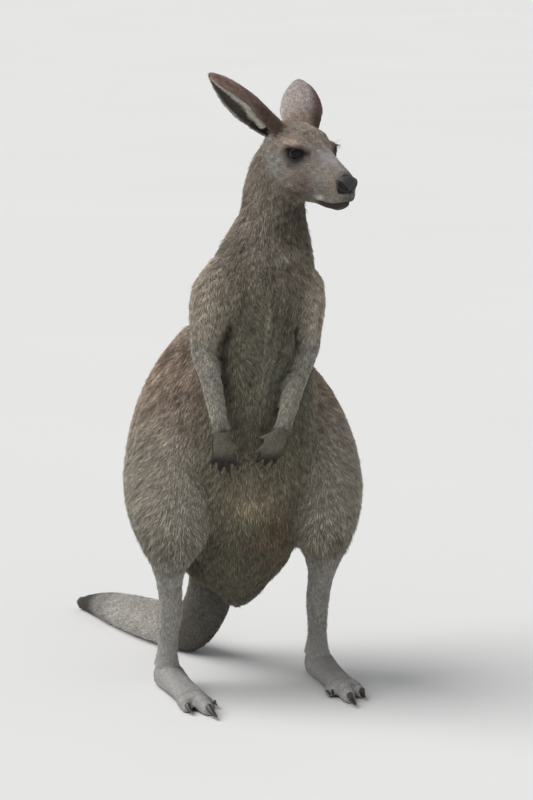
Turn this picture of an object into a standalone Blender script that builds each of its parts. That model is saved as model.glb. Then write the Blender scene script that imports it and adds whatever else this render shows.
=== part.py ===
"""A grey kangaroo doe, life size, standing tall on her hind feet and tail and looking to her left.

She faces -Y, her left side is +X and up is +Z. Every piece of her body is a closed solid of its own,
out to the tips of the coat. Most are lofts: rings of named radii carried along a curve through a few
named stations.
"""

import math

import bmesh
import bpy
import numpy as np
from mathutils import Matrix, Vector

GAP = 0.0003  # between two solids that meet
TIP_RISE = 0.45  # how far a closed end rises past its last ring, as a share of the ring's radius
LEFT, RIGHT = 1, -1

# The coat's colours, as linear red, green and blue.
GREY_BROWN = (0.20, 0.15, 0.115)
PALE_GREY = (0.42, 0.38, 0.33)
DARK_SKIN = (0.03, 0.027, 0.025)
HORN = (0.012, 0.011, 0.010)
EYE_BROWN = (0.012, 0.007, 0.005)


# ---------------------------------------------------------------- shared making


def clear_scene():
    for old in list(bpy.data.objects):
        bpy.data.objects.remove(old)


def collection(name):
    made = bpy.data.collections.new(name)
    bpy.context.scene.collection.children.link(made)
    return made


def material(name, colour, roughness):
    made = bpy.data.materials.new(name)
    made.use_nodes = True
    shader = made.node_tree.nodes["Principled BSDF"]
    shader.inputs["Base Color"].default_value = (*colour, 1)
    shader.inputs["Roughness"].default_value = roughness
    shader.inputs["Metallic"].default_value = 0
    return made


def along(stations, shares):
    """The stations' values at these shares of their count, on a smooth curve through every station."""
    table = np.array(stations, float)
    padded = np.vstack([2 * table[0] - table[1], table, 2 * table[-1] - table[-2]])
    index = np.minimum(np.floor(shares).astype(int), len(table) - 2)
    t = (shares - index)[:, None]
    p0, p1, p2, p3 = (padded[index + k] for k in range(4))
    return 0.5 * (
        2 * p1 + (p2 - p0) * t + (2 * p0 - 5 * p1 + 4 * p2 - p3) * t**2 + (3 * p1 - p0 - 3 * p2 + p3) * t**3
    )


def unit(vectors):
    return vectors / np.linalg.norm(vectors, axis=-1, keepdims=True)


def loft(stations, span, rings, sides, across=(1, 0, 0), normal=None, square=2.0):
    """Rings of points along the stations, as an array of rings by sides by 3.

    A station is x, y, z, then the radius to each side, to the front and to the back. Span is the first
    and last station that the rings cover. Each ring is a superellipse of that squareness, on the plane
    that the curve crosses squarely, or on the plane of the normal.
    """
    shares = np.linspace(span[0], span[1], rings)
    values = along(stations, shares)
    step = 1e-3
    ahead = along(stations, np.clip(shares + step, 0, len(stations) - 1))
    behind = along(stations, np.clip(shares - step, 0, len(stations) - 1))
    axis = unit(ahead[:, :3] - behind[:, :3])
    if normal is not None:
        axis = np.broadcast_to(unit(np.array(normal, float)), axis.shape)
    side = np.array(across, float) - (axis @ np.array(across, float))[:, None] * axis
    side = unit(side)
    front = np.cross(axis, side)
    angle = np.linspace(0, 2 * math.pi, sides, endpoint=False)
    c, s = np.cos(angle), np.sin(angle)
    out = np.sign(c) * np.abs(c) ** (2 / square)
    fore = np.sign(s) * np.abs(s) ** (2 / square)
    depth = np.where(s >= 0, values[:, 4:5], values[:, 5:6])
    return (
        values[:, None, :3]
        + (values[:, 3:4] * out)[..., None] * side[:, None]
        + (depth * fore)[..., None] * front[:, None]
    )


def swell(grid, centre, reach, rise):
    """Moves the points near a centre out from their ring's own middle: a muscle or a bone."""
    middle = grid.mean(1, keepdims=True)
    outward = unit(grid - middle + 1e-9)
    far = np.linalg.norm(grid - np.array(centre, float), axis=-1, keepdims=True)
    return grid + outward * rise * np.exp(-((far / reach) ** 2))


def wall(rings, sides):
    """The triangles of the wall between one ring and the next, all split the same way."""
    faces = []
    for i in range(rings - 1):
        for j in range(sides):
            k = (j + 1) % sides
            a, b, c, d = i * sides + j, i * sides + k, (i + 1) * sides + k, (i + 1) * sides + j
            faces += [(a, b, c), (a, c, d)]
    return faces


def mesh_object(name, vertices, faces, group, finish):
    mesh = bpy.data.meshes.new(name)
    mesh.from_pydata([tuple(v) for v in vertices], [], faces)
    mesh.validate()
    body = bmesh.new()
    body.from_mesh(mesh)
    bmesh.ops.recalc_face_normals(body, faces=body.faces)
    body.to_mesh(mesh)
    body.free()
    mesh.shade_smooth()
    made = bpy.data.objects.new(name, mesh)
    made.data.materials.append(finish)
    group.objects.link(made)
    return made


def solid(name, grid, group, finish, tips=(False, False)):
    """A closed solid from rings of points. A tipped end closes to a point, and a plain one is flat."""
    rings, sides = grid.shape[:2]
    vertices = grid.reshape(-1, 3).tolist()
    faces = wall(rings, sides)
    for end, inner, tip in ((0, 1, tips[0]), (rings - 1, rings - 2, tips[1])):
        ring = [end * sides + j for j in range(sides)]
        if not tip:
            faces.append(ring)
            continue
        middle, before = grid[end].mean(0), grid[inner].mean(0)
        radius = np.linalg.norm(grid[end] - middle, axis=1).mean()
        vertices.append((middle + unit(middle - before) * radius * TIP_RISE).tolist())
        for j in range(sides):
            faces.append((ring[j], ring[(j + 1) % sides], len(vertices) - 1))
    return mesh_object(name, vertices, faces, group, finish)


def apply_modifiers(obj):
    """Keeps the shape that the object's modifiers make as its own mesh."""
    graph = bpy.context.evaluated_depsgraph_get()
    old = obj.data
    obj.data = bpy.data.meshes.new_from_object(obj.evaluated_get(graph))
    obj.modifiers.clear()
    bpy.data.meshes.remove(old)
    obj.data.name = obj.name


def joined(obj, others):
    """Unites other solids with this one, and removes them."""
    for other in others:
        union = obj.modifiers.new("join", "BOOLEAN")
        union.operation = "UNION"
        union.object = other
        apply_modifiers(obj)
        bpy.data.objects.remove(other)
    return obj


def trimmed(obj, neighbours, cutters):
    """Cuts the solid back from its neighbours, with the gap between them."""
    for neighbour in neighbours:
        cutter = bpy.data.objects.new("cut_" + neighbour.name, neighbour.data.copy())
        cutters.objects.link(cutter)
        cutter.hide_render = True
        cutter.display_type = "WIRE"
        swollen = cutter.modifiers.new("gap", "DISPLACE")
        swollen.strength = GAP
        swollen.mid_level = 0
        apply_modifiers(cutter)
        cut = obj.modifiers.new("trim", "BOOLEAN")
        cut.operation = "DIFFERENCE"
        cut.object = cutter
        apply_modifiers(obj)
        bpy.data.objects.remove(cutter)
    return obj


def parted(grid, rings_apart):
    """Lengths of one loft, parted at these rings by the gap, for solids that follow on from each other."""
    edges = [0, *rings_apart, len(grid) - 1]
    lengths = []
    for start, end in zip(edges[:-1], edges[1:]):
        piece = grid[start : end + 1].copy()
        if start:
            piece[0] += unit(piece[1].mean(0) - piece[0].mean(0)) * GAP
        lengths.append(piece)
    return lengths


# ---------------------------------------------------------------- the head's own frame

EYE_LINE = Vector((0.084, -0.0735, 0.928))  # midway between the eyes
HEAD_TURN = math.radians(30)  # towards her left
HEAD_FORE = np.array((math.sin(HEAD_TURN), -math.cos(HEAD_TURN), 0))
HEAD_SIDE = np.array((math.cos(HEAD_TURN), math.sin(HEAD_TURN), 0))
HEAD_UP = np.array((0, 0, 1.0))
EYE_OUT = 0.0358
EYE_RADIUS = 0.0150


def head_point(fore, side, up):
    return np.array(EYE_LINE) + HEAD_FORE * fore + HEAD_SIDE * side + HEAD_UP * up


# ---------------------------------------------------------------- head, nose and eyes

# Stations from the muzzle back: how far ahead of the eyes, the top and the bottom above them, half the width.
HEAD_STATIONS = {
    "muzzle_end": (0.0885, -0.037, -0.079, 0.0170),
    "muzzle_front": (0.081, -0.029, -0.088, 0.0215),
    "muzzle": (0.066, -0.018, -0.094, 0.0250),
    "muzzle_back": (0.047, -0.005, -0.093, 0.0285),
    "cheek_front": (0.028, 0.009, -0.090, 0.0330),
    "eye_front": (0.012, 0.023, -0.086, 0.0410),
    "eye": (-0.004, 0.037, -0.085, 0.0470),
    "brow_back": (-0.020, 0.045, -0.085, 0.0495),
    "cheek": (-0.035, 0.048, -0.083, 0.0505),
    "ear_line": (-0.055, 0.051, -0.078, 0.0490),
    "back": (-0.075, 0.046, -0.066, 0.0440),
    "occiput": (-0.092, 0.030, -0.046, 0.0320),
}
WIDEST = 0.58  # how far up the head it is widest
JAW_TAPER = 0.42  # how much narrower it is at the jaw line
CROWN_TAPER = 0.15
# What stands out of each side or is hollowed: ahead of the eyes, sideways, up, reach and rise.
HEAD_SWELLS = {
    "brow": (0.004, 0.036, 0.024, 0.018, 0.0070),
    "cheek": (-0.030, 0.044, -0.045, 0.030, 0.0050),
    "lip": (0.074, 0.020, -0.058, 0.016, 0.0022),
    "muzzle_side": (0.040, 0.030, -0.020, 0.018, -0.0030),
    "eye_corner": (0.024, 0.040, 0.000, 0.012, -0.0020),
}


def head_rows():
    rows = []
    for fore, top, bottom, half in HEAD_STATIONS.values():
        middle = bottom + WIDEST * (top - bottom)
        rows.append((*head_point(fore, 0, middle), half, middle - bottom, top - middle))
    return rows


def build_head(group, finish):
    rows = head_rows()
    grid = loft(rows, (0, len(rows) - 1), 20, 22, HEAD_SIDE, -HEAD_FORE, square=2.25)
    middle = grid.mean(1, keepdims=True)
    away = grid - middle
    height = away @ HEAD_UP
    lowest = height.min(1, keepdims=True)
    highest = height.max(1, keepdims=True)
    low = np.clip(height / lowest, 0, 1) ** 1.6
    high = np.clip(height / highest, 0, 1) ** 2
    width = away @ HEAD_SIDE
    narrowed = width * (1 - JAW_TAPER * low - CROWN_TAPER * high)
    grid = grid + (narrowed - width)[..., None] * HEAD_SIDE
    for side in (LEFT, RIGHT):
        for fore, out, up, reach, rise in HEAD_SWELLS.values():
            grid = swell(grid, head_point(fore, side * out, up), reach, rise)
    return solid("head", grid, group, finish, tips=(True, True))


# The bare nose from its root forward: ahead of the eyes, half the width, below and above its middle.
NOSE_STATIONS = {
    "root": (0.0760, 0.0140, 0.0130, 0.0120),
    "wings": (0.0860, 0.0170, 0.0150, 0.0130),
    "pad": (0.0925, 0.0150, 0.0132, 0.0108),
    "front": (0.0955, 0.0095, 0.0085, 0.0070),
}
NOSE_UP = -0.048


def build_nose(group, finish):
    rows = [(*head_point(fore, 0, NOSE_UP), *size) for fore, *size in NOSE_STATIONS.values()]
    grid = loft(rows, (0, len(rows) - 1), 6, 14, HEAD_SIDE, -HEAD_FORE, square=2.2)
    return solid("nose", grid, group, finish, tips=(True, True))


def build_eye(name, side, group, finish):
    ball = bmesh.new()
    bmesh.ops.create_uvsphere(ball, u_segments=14, v_segments=8, radius=EYE_RADIUS)
    bmesh.ops.transform(ball, matrix=Matrix.Translation(head_point(0, side * EYE_OUT, 0)), verts=ball.verts)
    mesh = bpy.data.meshes.new(name)
    ball.to_mesh(mesh)
    ball.free()
    mesh.shade_smooth()
    eye = bpy.data.objects.new(name, mesh)
    eye.data.materials.append(finish)
    group.objects.link(eye)
    return eye


# ---------------------------------------------------------------- ears

EAR_LENGTH = 0.134
EAR_SKIN = 0.0042  # one wall of the ear, with its hair
EAR_LEAN = 0.55  # how far the wall's curve is centred ahead of the ear's line, as a share of its radius
# Stations up the ear: share of the length, radius of the wall's curve, and the degrees that it wraps from
# the middle of the back to the trailing edge and to the leading edge.
EAR_STATIONS = {
    "root": (-0.18, 0.0170, 165, 165),
    "base": (0.02, 0.0200, 150, 150),
    "opening": (0.18, 0.0250, 118, 121),
    "wide": (0.40, 0.0305, 90, 98),
    "upper": (0.62, 0.0300, 80, 101),
    "near_tip": (0.82, 0.0225, 70, 110),
    "tip": (0.95, 0.0120, 63, 118),
    "point": (1.00, 0.0055, 58, 120),
}


def ear_grid(base, up, opening, spread, leads, rings, sides):
    """Rings round the wall of an ear: along its back from edge to edge, and home along its inside.

    Leads is 1 where the wall swings ahead towards its leading edge, and -1 where it swings back towards it.
    """
    up = unit(np.array(up, float))
    opening = np.array(opening, float)
    opening = unit(opening - up * (opening @ up))
    width = np.cross(up, opening)
    table = along(list(EAR_STATIONS.values()), np.linspace(0, len(EAR_STATIONS) - 1, rings))
    grid = []
    for share, radius, trailing, leading in table:
        ends = (-trailing, leading) if leads > 0 else (-leading, trailing)
        swing = np.radians(np.linspace(*ends, sides))
        back = np.cos(swing)[:, None] * -opening + np.sin(swing)[:, None] * width
        centre = np.array(base) + up * share * EAR_LENGTH + opening * radius * EAR_LEAN
        outer = centre + back * radius * spread
        inner = centre + back * (radius * spread - EAR_SKIN)
        grid.append(np.vstack([outer, inner[::-1]]))
    return np.array(grid)


# Each ear: its base, the ways that its length and its hollow face, how much wider than its stations it is,
# and which way it leads.
EARS = {
    "ear_right": (head_point(-0.060, -0.036, 0.048), (-0.44, -0.66, 0.60), (0.10, -0.75, -0.45), 1.0, 1),
    "ear_left": (head_point(-0.065, 0.034, 0.034), (-0.62, 0.52, 0.52), (-0.30, 0.45, -0.75), 1.15, -1),
}


def in_head(fore, side, up):
    return HEAD_FORE * fore + HEAD_SIDE * side + HEAD_UP * up


def build_ear(name, group, finish):
    base, up, opening, spread, leads = EARS[name]
    grid = ear_grid(base, in_head(*up), in_head(*opening), spread, leads, 9, 9)
    return solid(name, grid, group, finish)


# ---------------------------------------------------------------- neck and trunk

# Level sections from the head down: height, middle of the width, front, back, half the width.
TRUNK_STATIONS = {
    "nape_top": (0.940, 0.040, -0.030, 0.028, 0.024),
    "nape": (0.912, 0.038, -0.044, 0.044, 0.040),
    "skull": (0.885, 0.036, -0.052, 0.050, 0.048),
    "neck_top": (0.855, 0.033, -0.058, 0.054, 0.052),
    "throat": (0.820, 0.031, -0.060, 0.057, 0.056),
    "neck_mid": (0.785, 0.024, -0.064, 0.067, 0.070),
    "neck_base": (0.745, 0.017, -0.078, 0.082, 0.084),
    "shoulder": (0.695, 0.010, -0.090, 0.100, 0.092),
    "chest": (0.640, 0.004, -0.098, 0.120, 0.095),
    "ribs": (0.580, 0.000, -0.100, 0.140, 0.099),
    "waist": (0.520, -0.005, -0.100, 0.160, 0.110),
    "belly": (0.450, -0.012, -0.110, 0.185, 0.122),
    "hip": (0.380, -0.020, -0.124, 0.200, 0.128),
    "pelvis": (0.310, -0.026, -0.132, 0.190, 0.118),
    "pouch": (0.255, -0.032, -0.124, 0.155, 0.104),
    "pouch_floor": (0.218, -0.038, -0.104, 0.112, 0.090),
    "crotch": (0.192, -0.040, -0.078, 0.078, 0.068),
    "vent": (0.170, -0.031, -0.050, 0.048, 0.043),
    "vent_tip": (0.150, -0.031, -0.030, 0.028, 0.023),
}
# What stands out of it or is hollowed: x, y, z, reach and rise.
TRUNK_SWELLS = {
    "breast": (0.000, -0.090, 0.660, 0.05, 0.006),
    "under_right_elbow": (-0.096, -0.045, 0.598, 0.05, -0.010),
    "under_left_elbow": (0.081, -0.045, 0.600, 0.05, -0.010),
    "left_loin": (0.083, 0.115, 0.500, 0.10, 0.024),
    "right_loin": (-0.107, 0.115, 0.510, 0.10, 0.032),
    "left_rump": (0.071, 0.125, 0.360, 0.09, 0.018),
    "right_rump": (-0.099, 0.125, 0.370, 0.09, 0.018),
}
NECK_RINGS, CHEST_RINGS, BELLY_RINGS = 11, 16, 22
TRUNK_RINGS = 33


def build_trunk(group, cutters, finish):
    """The trunk's lengths, and the whole of it in one piece to cut the limbs back with."""
    rows = []
    for up, middle, front, back, half in TRUNK_STATIONS.values():
        centre = 0.5 * (front + back)
        rows.append((middle, centre, up, half, centre - front, back - centre))
    grid = loft(rows, (0, len(rows) - 1), TRUNK_RINGS, 24, normal=(0, 0, -1), square=2.15)
    for *centre, reach, rise in TRUNK_SWELLS.values():
        grid = swell(grid, centre, reach, rise)
    names = ("neck", "chest", "belly", "hips")
    whole = solid("trunk", grid, cutters, finish, tips=(True, True))
    lengths = parted(grid, (NECK_RINGS, CHEST_RINGS, BELLY_RINGS))
    return whole, [
        solid(name, length, group, finish, tips=(name == "neck", name == "hips"))
        for name, length in zip(names, lengths)
    ]


# ---------------------------------------------------------------- hind legs


HIPS_AT = (-0.012, 0.050)
HIPS_TURN = 0.143  # how far the hips' middle shifts sideways for each metre back


def midline(y):
    """Where the middle of her hips is at this depth: they face a little to her right of her chest."""
    return HIPS_AT[0] + HIPS_TURN * (y - HIPS_AT[1])


# Level sections down the left leg: height, distance from the midline, front, back, half the width.
LEG_STATIONS = {
    "loin": (0.600, 0.055, 0.050, 0.110, 0.034),
    "iliac": (0.570, 0.068, 0.022, 0.146, 0.052),
    "rump": (0.520, 0.088, 0.000, 0.168, 0.070),
    "haunch": (0.460, 0.104, -0.040, 0.186, 0.082),
    "thigh": (0.400, 0.116, -0.075, 0.182, 0.086),
    "low_thigh": (0.350, 0.124, -0.104, 0.156, 0.083),
    "knee_top": (0.310, 0.128, -0.126, 0.110, 0.074),
    "knee": (0.275, 0.130, -0.138, 0.050, 0.056),
    "below_knee": (0.245, 0.134, -0.132, 0.002, 0.034),
    "calf_top": (0.215, 0.135, -0.108, -0.014, 0.0235),
    "calf": (0.185, 0.133, -0.082, -0.012, 0.0205),
    "shank": (0.150, 0.131, -0.058, 0.004, 0.0200),
    "low_shank": (0.105, 0.134, -0.024, 0.030, 0.0175),
    "above_ankle": (0.070, 0.136, 0.000, 0.056, 0.0185),
    "ankle": (0.038, 0.137, 0.012, 0.082, 0.0235),
}
ANKLE_SHIFT = 0.0175  # her left ankle is this far behind the pair's middle, and her right ankle ahead of it
HAUNCH_TOP, HAUNCH_DEEP = 0.60, 0.40  # the heights between which the two haunches differ
HIP_LIFT = {RIGHT: 0.020, LEFT: -0.012}  # how much higher or lower each haunch begins
HIP_SPREAD = {RIGHT: 0.006, LEFT: -0.006}
SHANK_REACH = 0.30  # the height over which the shanks part to their ankles
LEG_RINGS, KNEE_RING = 27, 14


def leg_rows(side):
    rows = []
    for up, out, front, back, half in LEG_STATIONS.values():
        centre = 0.5 * (front + back)
        loin = np.clip((up - HAUNCH_DEEP) / (HAUNCH_TOP - HAUNCH_DEEP), 0, 1)
        shift = side * ANKLE_SHIFT * np.clip((HAUNCH_DEEP - up) / SHANK_REACH, 0, 1)
        up, half = up + HIP_LIFT[side] * loin, half + HIP_SPREAD[side] * loin
        x = midline(centre) + side * out
        rows.append((x, centre + shift, up, half, centre - front, back - centre))
    return rows


def build_leg(side, word, group, finish):
    rows = leg_rows(side)
    grid = loft(rows, (0, len(rows) - 1), LEG_RINGS, 16, normal=(0, 0, -1), square=2.1)
    thigh, shin = parted(grid, (KNEE_RING,))
    return [
        solid(f"thigh_{word}", thigh, group, finish, tips=(True, False)),
        solid(f"shin_{word}", shin, group, finish),
    ]


# ---------------------------------------------------------------- hind feet

# Down the foot from the heel: distance ahead of the ankle and outward of it, half the width, the top.
SOLE_STATIONS = {
    "heel_end": (-0.036, 0.000, 0.0130, 0.028),
    "heel": (-0.022, 0.000, 0.0210, 0.040),
    "ankle": (0.000, 0.000, 0.0250, 0.047),
    "instep": (0.030, 0.001, 0.0240, 0.042),
    "arch": (0.075, 0.003, 0.0225, 0.035),
    "ball": (0.120, 0.005, 0.0240, 0.031),
    "toe_roots": (0.155, 0.006, 0.0255, 0.028),
    "split": (0.172, 0.006, 0.0220, 0.025),
}
# Each toe, at its start and end: how far outward, how far ahead, half the width and the top; then its
# claws' length.
TOES = {
    "fourth": ((0.002, 0.001), (0.150, 0.222), (0.0140, 0.0105), (0.029, 0.020), 0.036),
    "fifth": ((0.021, 0.029), (0.138, 0.190), (0.0115, 0.0085), (0.025, 0.017), 0.022),
    "grooming": ((-0.016, -0.022), (0.132, 0.172), (0.0070, 0.0060), (0.018, 0.013), 0.013),
}
# Along a toe: share of its length, then how much of its end's width and top it has, or none for its start's.
TOE_STATIONS = ((0, None, None), (0.45, None, None), (0.85, 1.15, 1.10), (1, 0.70, 0.75))
CLAW_STATIONS = ((-0.35, 1.0), (0.15, 1.0), (0.55, 0.72), (0.85, 0.38), (1.0, 0.16))  # share, thickness
CLAW_THICK = {"fourth": 0.0062, "fifth": 0.0053, "grooming": 0.0026}
CLAW_LOW = 0.0068  # the height of a claw's point
TWIN_CLAWS = 0.0035  # each way from the middle of the grooming toe
MIDDLE_UP = 0.45  # the height of a foot's or toe's middle, as a share of its top
FEET = {
    "left": (LEFT, np.array((0.127, 0.060)), math.radians(1)),
    "right": (RIGHT, np.array((-0.147, 0.024)), math.radians(8)),
}


def on_ground(grid):
    """Flattens whatever dips below the ground onto it."""
    grid = grid.copy()
    grid[..., 2] = np.maximum(grid[..., 2], 0)
    return grid


def foot_frame(word):
    side, ankle, turn = FEET[word]
    ahead = np.array((math.sin(turn), -math.cos(turn), 0))
    outward = side * np.array((math.cos(turn), math.sin(turn), 0))
    origin = np.array((*ankle, 0))
    return origin, ahead, outward


def flat_row(at, half, top):
    """A station of a foot or toe that stands on the ground and is this high."""
    return (*(at + (0, 0, MIDDLE_UP * top)), half, (1 - MIDDLE_UP) * top, (1 - MIDDLE_UP) * top)


def build_toe(word, name, group, skin, horn):
    """One toe of a foot, to be joined to it, and its claws."""
    origin, ahead, outward = foot_frame(word)
    (start_out, end_out), (start, end), (wide, narrow), (high, low), length = TOES[name]
    rows = []
    for share, width, top in TOE_STATIONS:
        at = ahead * (start + share * (end - start)) + outward * (start_out + share * (end_out - start_out))
        half = wide if width is None else narrow * width
        rows.append(flat_row(origin + at, half, high if top is None else low * top))
    toe = solid("toe", on_ground(loft(rows, (0, 3), 5, 9, normal=ahead, square=2.3)), group, skin)
    claws = []
    for number, aside in enumerate((TWIN_CLAWS, -TWIN_CLAWS) if name == "grooming" else (0,)):
        rows = []
        for share, size in CLAW_STATIONS:
            at = origin + ahead * (end + share * length) + outward * (end_out + aside)
            height = CLAW_LOW + low * 0.22 * (1 - max(share, 0) ** 1.6)
            thick = CLAW_THICK[name] * size
            rows.append((*(at + (0, 0, height)), thick, thick * 1.1, thick * 0.8))
        tag = f"{name}_{number + 1}" if name == "grooming" else name
        grid = on_ground(loft(rows, (0, 4), 5, 6, normal=ahead))
        claws.append(solid(f"claw_hind_{tag}_{word}", grid, group, horn, tips=(False, True)))
    return toe, claws


def build_foot(word, group, skin, horn):
    origin, ahead, outward = foot_frame(word)
    rows = []
    for fore, out, half, top in SOLE_STATIONS.values():
        rows.append(flat_row(origin + ahead * fore + outward * out, half, top))
    grid = on_ground(loft(rows, (0, len(rows) - 1), 10, 14, normal=ahead, square=2.4))
    foot = solid(f"foot_{word}", grid, group, skin)
    built = [build_toe(word, name, group, skin, horn) for name in TOES]
    joined(foot, [toe for toe, _ in built])
    return foot, [claw for _, claws in built for claw in claws]


# ---------------------------------------------------------------- arms and hands

ARMS = {
    "right": (RIGHT, (-0.074, -0.018, 0.694), (-0.096, -0.045, 0.598), (-0.0855, -0.140, 0.470)),
    "left": (LEFT, (0.079, -0.018, 0.698), (0.081, -0.045, 0.600), (0.0180, -0.140, 0.470)),
}


SHOULDER_TOP = (0.022, 0.006, 0.046)  # from the shoulder: inward, back and up
# Down the upper arm and then the forearm: share of that bone, half the width, front, back.
UPPER_ARM_STATIONS = (
    (0, 0.036, 0.048, 0.052),
    (0.42, 0.036, 0.043, 0.046),
    (0.72, 0.029, 0.035, 0.038),
    (1.06, 0.022, 0.027, 0.029),
)
FOREARM_STATIONS = (
    (0.32, 0.0195, 0.0220, 0.0210),
    (0.62, 0.0170, 0.0180, 0.0175),
    (0.86, 0.0152, 0.0150, 0.0145),
    (1, 0.0148, 0.0135, 0.0130),
)


def arm_rows(side, shoulder, elbow, wrist):
    shoulder, elbow, wrist = (np.array(p, float) for p in (shoulder, elbow, wrist))
    inward, back, up = SHOULDER_TOP
    rows = [(*(shoulder + (-side * inward, back, up)), 0.022, 0.026, 0.028)]
    rows += [(*(shoulder + share * (elbow - shoulder)), *size) for share, *size in UPPER_ARM_STATIONS]
    rows += [(*(elbow + share * (wrist - elbow)), *size) for share, *size in FOREARM_STATIONS]
    return rows


ARM_RINGS, ELBOW_RING = 17, 7


def build_arm(word, group, finish):
    side, shoulder, elbow, wrist = ARMS[word]
    rows = arm_rows(side, shoulder, elbow, wrist)
    grid = loft(rows, (0, len(rows) - 1), ARM_RINGS, 14)
    upper, fore = parted(grid, (ELBOW_RING,))
    return [
        solid(f"upper_arm_{word}", upper, group, finish, tips=(True, False)),
        solid(f"forearm_{word}", fore, group, finish),
    ]


# How each hand hangs: the way its fingers point, and the way its back faces.
HANDS = {
    "right": ((0.05, -0.10, -1.0), (-0.30, -0.95, 0.10)),
    "left": ((-0.55, -0.12, -0.82), (0.15, -1.0, 0.05)),
}
# Down the palm from the wrist: distance, half the width, behind and ahead of its middle.
PALM_STATIONS = (
    (0.0004, 0.0140, 0.0120, 0.0120),
    (0.010, 0.0165, 0.0115, 0.0115),
    (0.026, 0.0185, 0.0105, 0.0110),
    (0.039, 0.0178, 0.0085, 0.0090),
    (0.045, 0.0150, 0.0060, 0.0065),
)
# Each finger: where its root is across and down the hand, its spread in degrees, length, radius, claw length.
FINGERS = {
    "thumb": (-0.0135, 0.016, -38, 0.019, 0.0046, 0.011),
    "index": (-0.0125, 0.034, -16, 0.026, 0.0051, 0.014),
    "middle": (-0.0042, 0.039, -5, 0.030, 0.0053, 0.016),
    "ring": (0.0045, 0.038, 7, 0.028, 0.0051, 0.015),
    "little": (0.0125, 0.033, 20, 0.022, 0.0047, 0.013),
}


def hand_frame(word):
    """The wrist, the way down the hand, the way its back faces, and the way from thumb to little finger."""
    side, wrist = ARMS[word][0], np.array(ARMS[word][3], float)
    down, back = (unit(np.array(v, float)) for v in HANDS[word])
    back = unit(back - down * (back @ down))
    across = np.cross(down, back)
    return wrist, down, back, across * (1 if across[0] * side > 0 else -1)


def build_finger(word, name, group, skin, horn):
    """One finger of a hand, curled a little, to be joined to the palm, and its claw."""
    wrist, down, back, across = hand_frame(word)
    out, start, spread, length, radius, claw = FINGERS[name]
    turn = math.radians(spread)
    way = down * math.cos(turn) + across * math.sin(turn)
    curl = unit(way * 0.86 - back * 0.50)
    bent = unit(curl * 0.80 - back * 0.60)
    root = wrist + across * out + down * start
    knuckle = root + way * length * 0.45
    tip = knuckle + curl * length * 0.60
    rows = [
        (*(root - way * 0.006), *[radius] * 3),
        (*(root + way * length * 0.20), *[radius] * 3),
        (*knuckle, *[radius * 1.02] * 3),
        (*(0.45 * knuckle + 0.55 * tip), *[radius * 0.90] * 3),
        (*tip, *[radius * 0.72] * 3),
    ]
    finger = solid("finger", loft(rows, (0, 4), 5, 7, across), group, skin, tips=(False, True))
    thin = radius * 0.50
    end = tip + curl * claw * 0.45
    rows = [
        (*(tip - curl * 0.004 + back * 0.001), *[thin] * 3),
        (*(tip + curl * 0.002 + back * 0.001), *[thin * 1.05] * 3),
        (*end, *[thin * 0.78] * 3),
        (*(end + bent * claw * 0.45), *[thin * 0.33] * 3),
    ]
    name = f"claw_{name}_{word}"
    return finger, solid(name, loft(rows, (0, 3), 4, 6, across), group, horn, tips=(False, True))


def build_hand(word, group, skin, horn):
    wrist, down, _, across = hand_frame(word)
    rows = [(*(wrist + down * at), *size) for at, *size in PALM_STATIONS]
    grid = loft(rows, (0, len(rows) - 1), 6, 10, across, down, 2.4)
    palm = solid(f"hand_{word}", grid, group, skin, tips=(False, True))
    built = [build_finger(word, name, group, skin, horn) for name in FINGERS]
    joined(palm, [finger for finger, _ in built])
    return palm, [claw for _, claw in built]


# ---------------------------------------------------------------- tail

# Down the tail: x, y, z, half the width, below, above.
TAIL_STATIONS = {
    "root": (-0.020, 0.070, 0.385, 0.064, 0.068, 0.068),
    "base": (-0.025, 0.112, 0.305, 0.064, 0.068, 0.070),
    "high": (-0.030, 0.152, 0.225, 0.053, 0.058, 0.060),
    "middle": (-0.036, 0.192, 0.145, 0.044, 0.050, 0.050),
    "bend": (-0.045, 0.236, 0.083, 0.042, 0.047, 0.045),
    "landing": (-0.062, 0.285, 0.049, 0.041, 0.052, 0.041),
    "lying": (-0.092, 0.345, 0.041, 0.040, 0.046, 0.040),
    "long": (-0.124, 0.430, 0.037, 0.037, 0.042, 0.037),
    "thin": (-0.152, 0.528, 0.031, 0.031, 0.036, 0.031),
    "end": (-0.173, 0.612, 0.022, 0.022, 0.026, 0.022),
    "tip": (-0.199, 0.680, 0.013, 0.010, 0.015, 0.010),
}
TAIL_RINGS, TAIL_PARTS = 25, (7, 13, 19)


def build_tail(group, finish):
    rows = list(TAIL_STATIONS.values())
    lengths = parted(loft(rows, (0, len(rows) - 1), TAIL_RINGS, 14), TAIL_PARTS)
    names = ("tail_root", "tail_mid", "tail_end", "tail_tip")
    return [
        solid(name, on_ground(length), group, finish, tips=(name == "tail_root", name == "tail_tip"))
        for name, length in zip(names, lengths)
    ]


# ---------------------------------------------------------------- the whole animal


def centre_on_origin(objects):
    """Moves everything so that the whole box stands on the origin."""
    points = np.array([v.co for obj in objects for v in obj.data.vertices])
    low, high = points.min(0), points.max(0)
    shift = Matrix.Translation((-(low[0] + high[0]) / 2, -(low[1] + high[1]) / 2, -low[2]))
    for obj in objects:
        obj.data.transform(shift)


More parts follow.
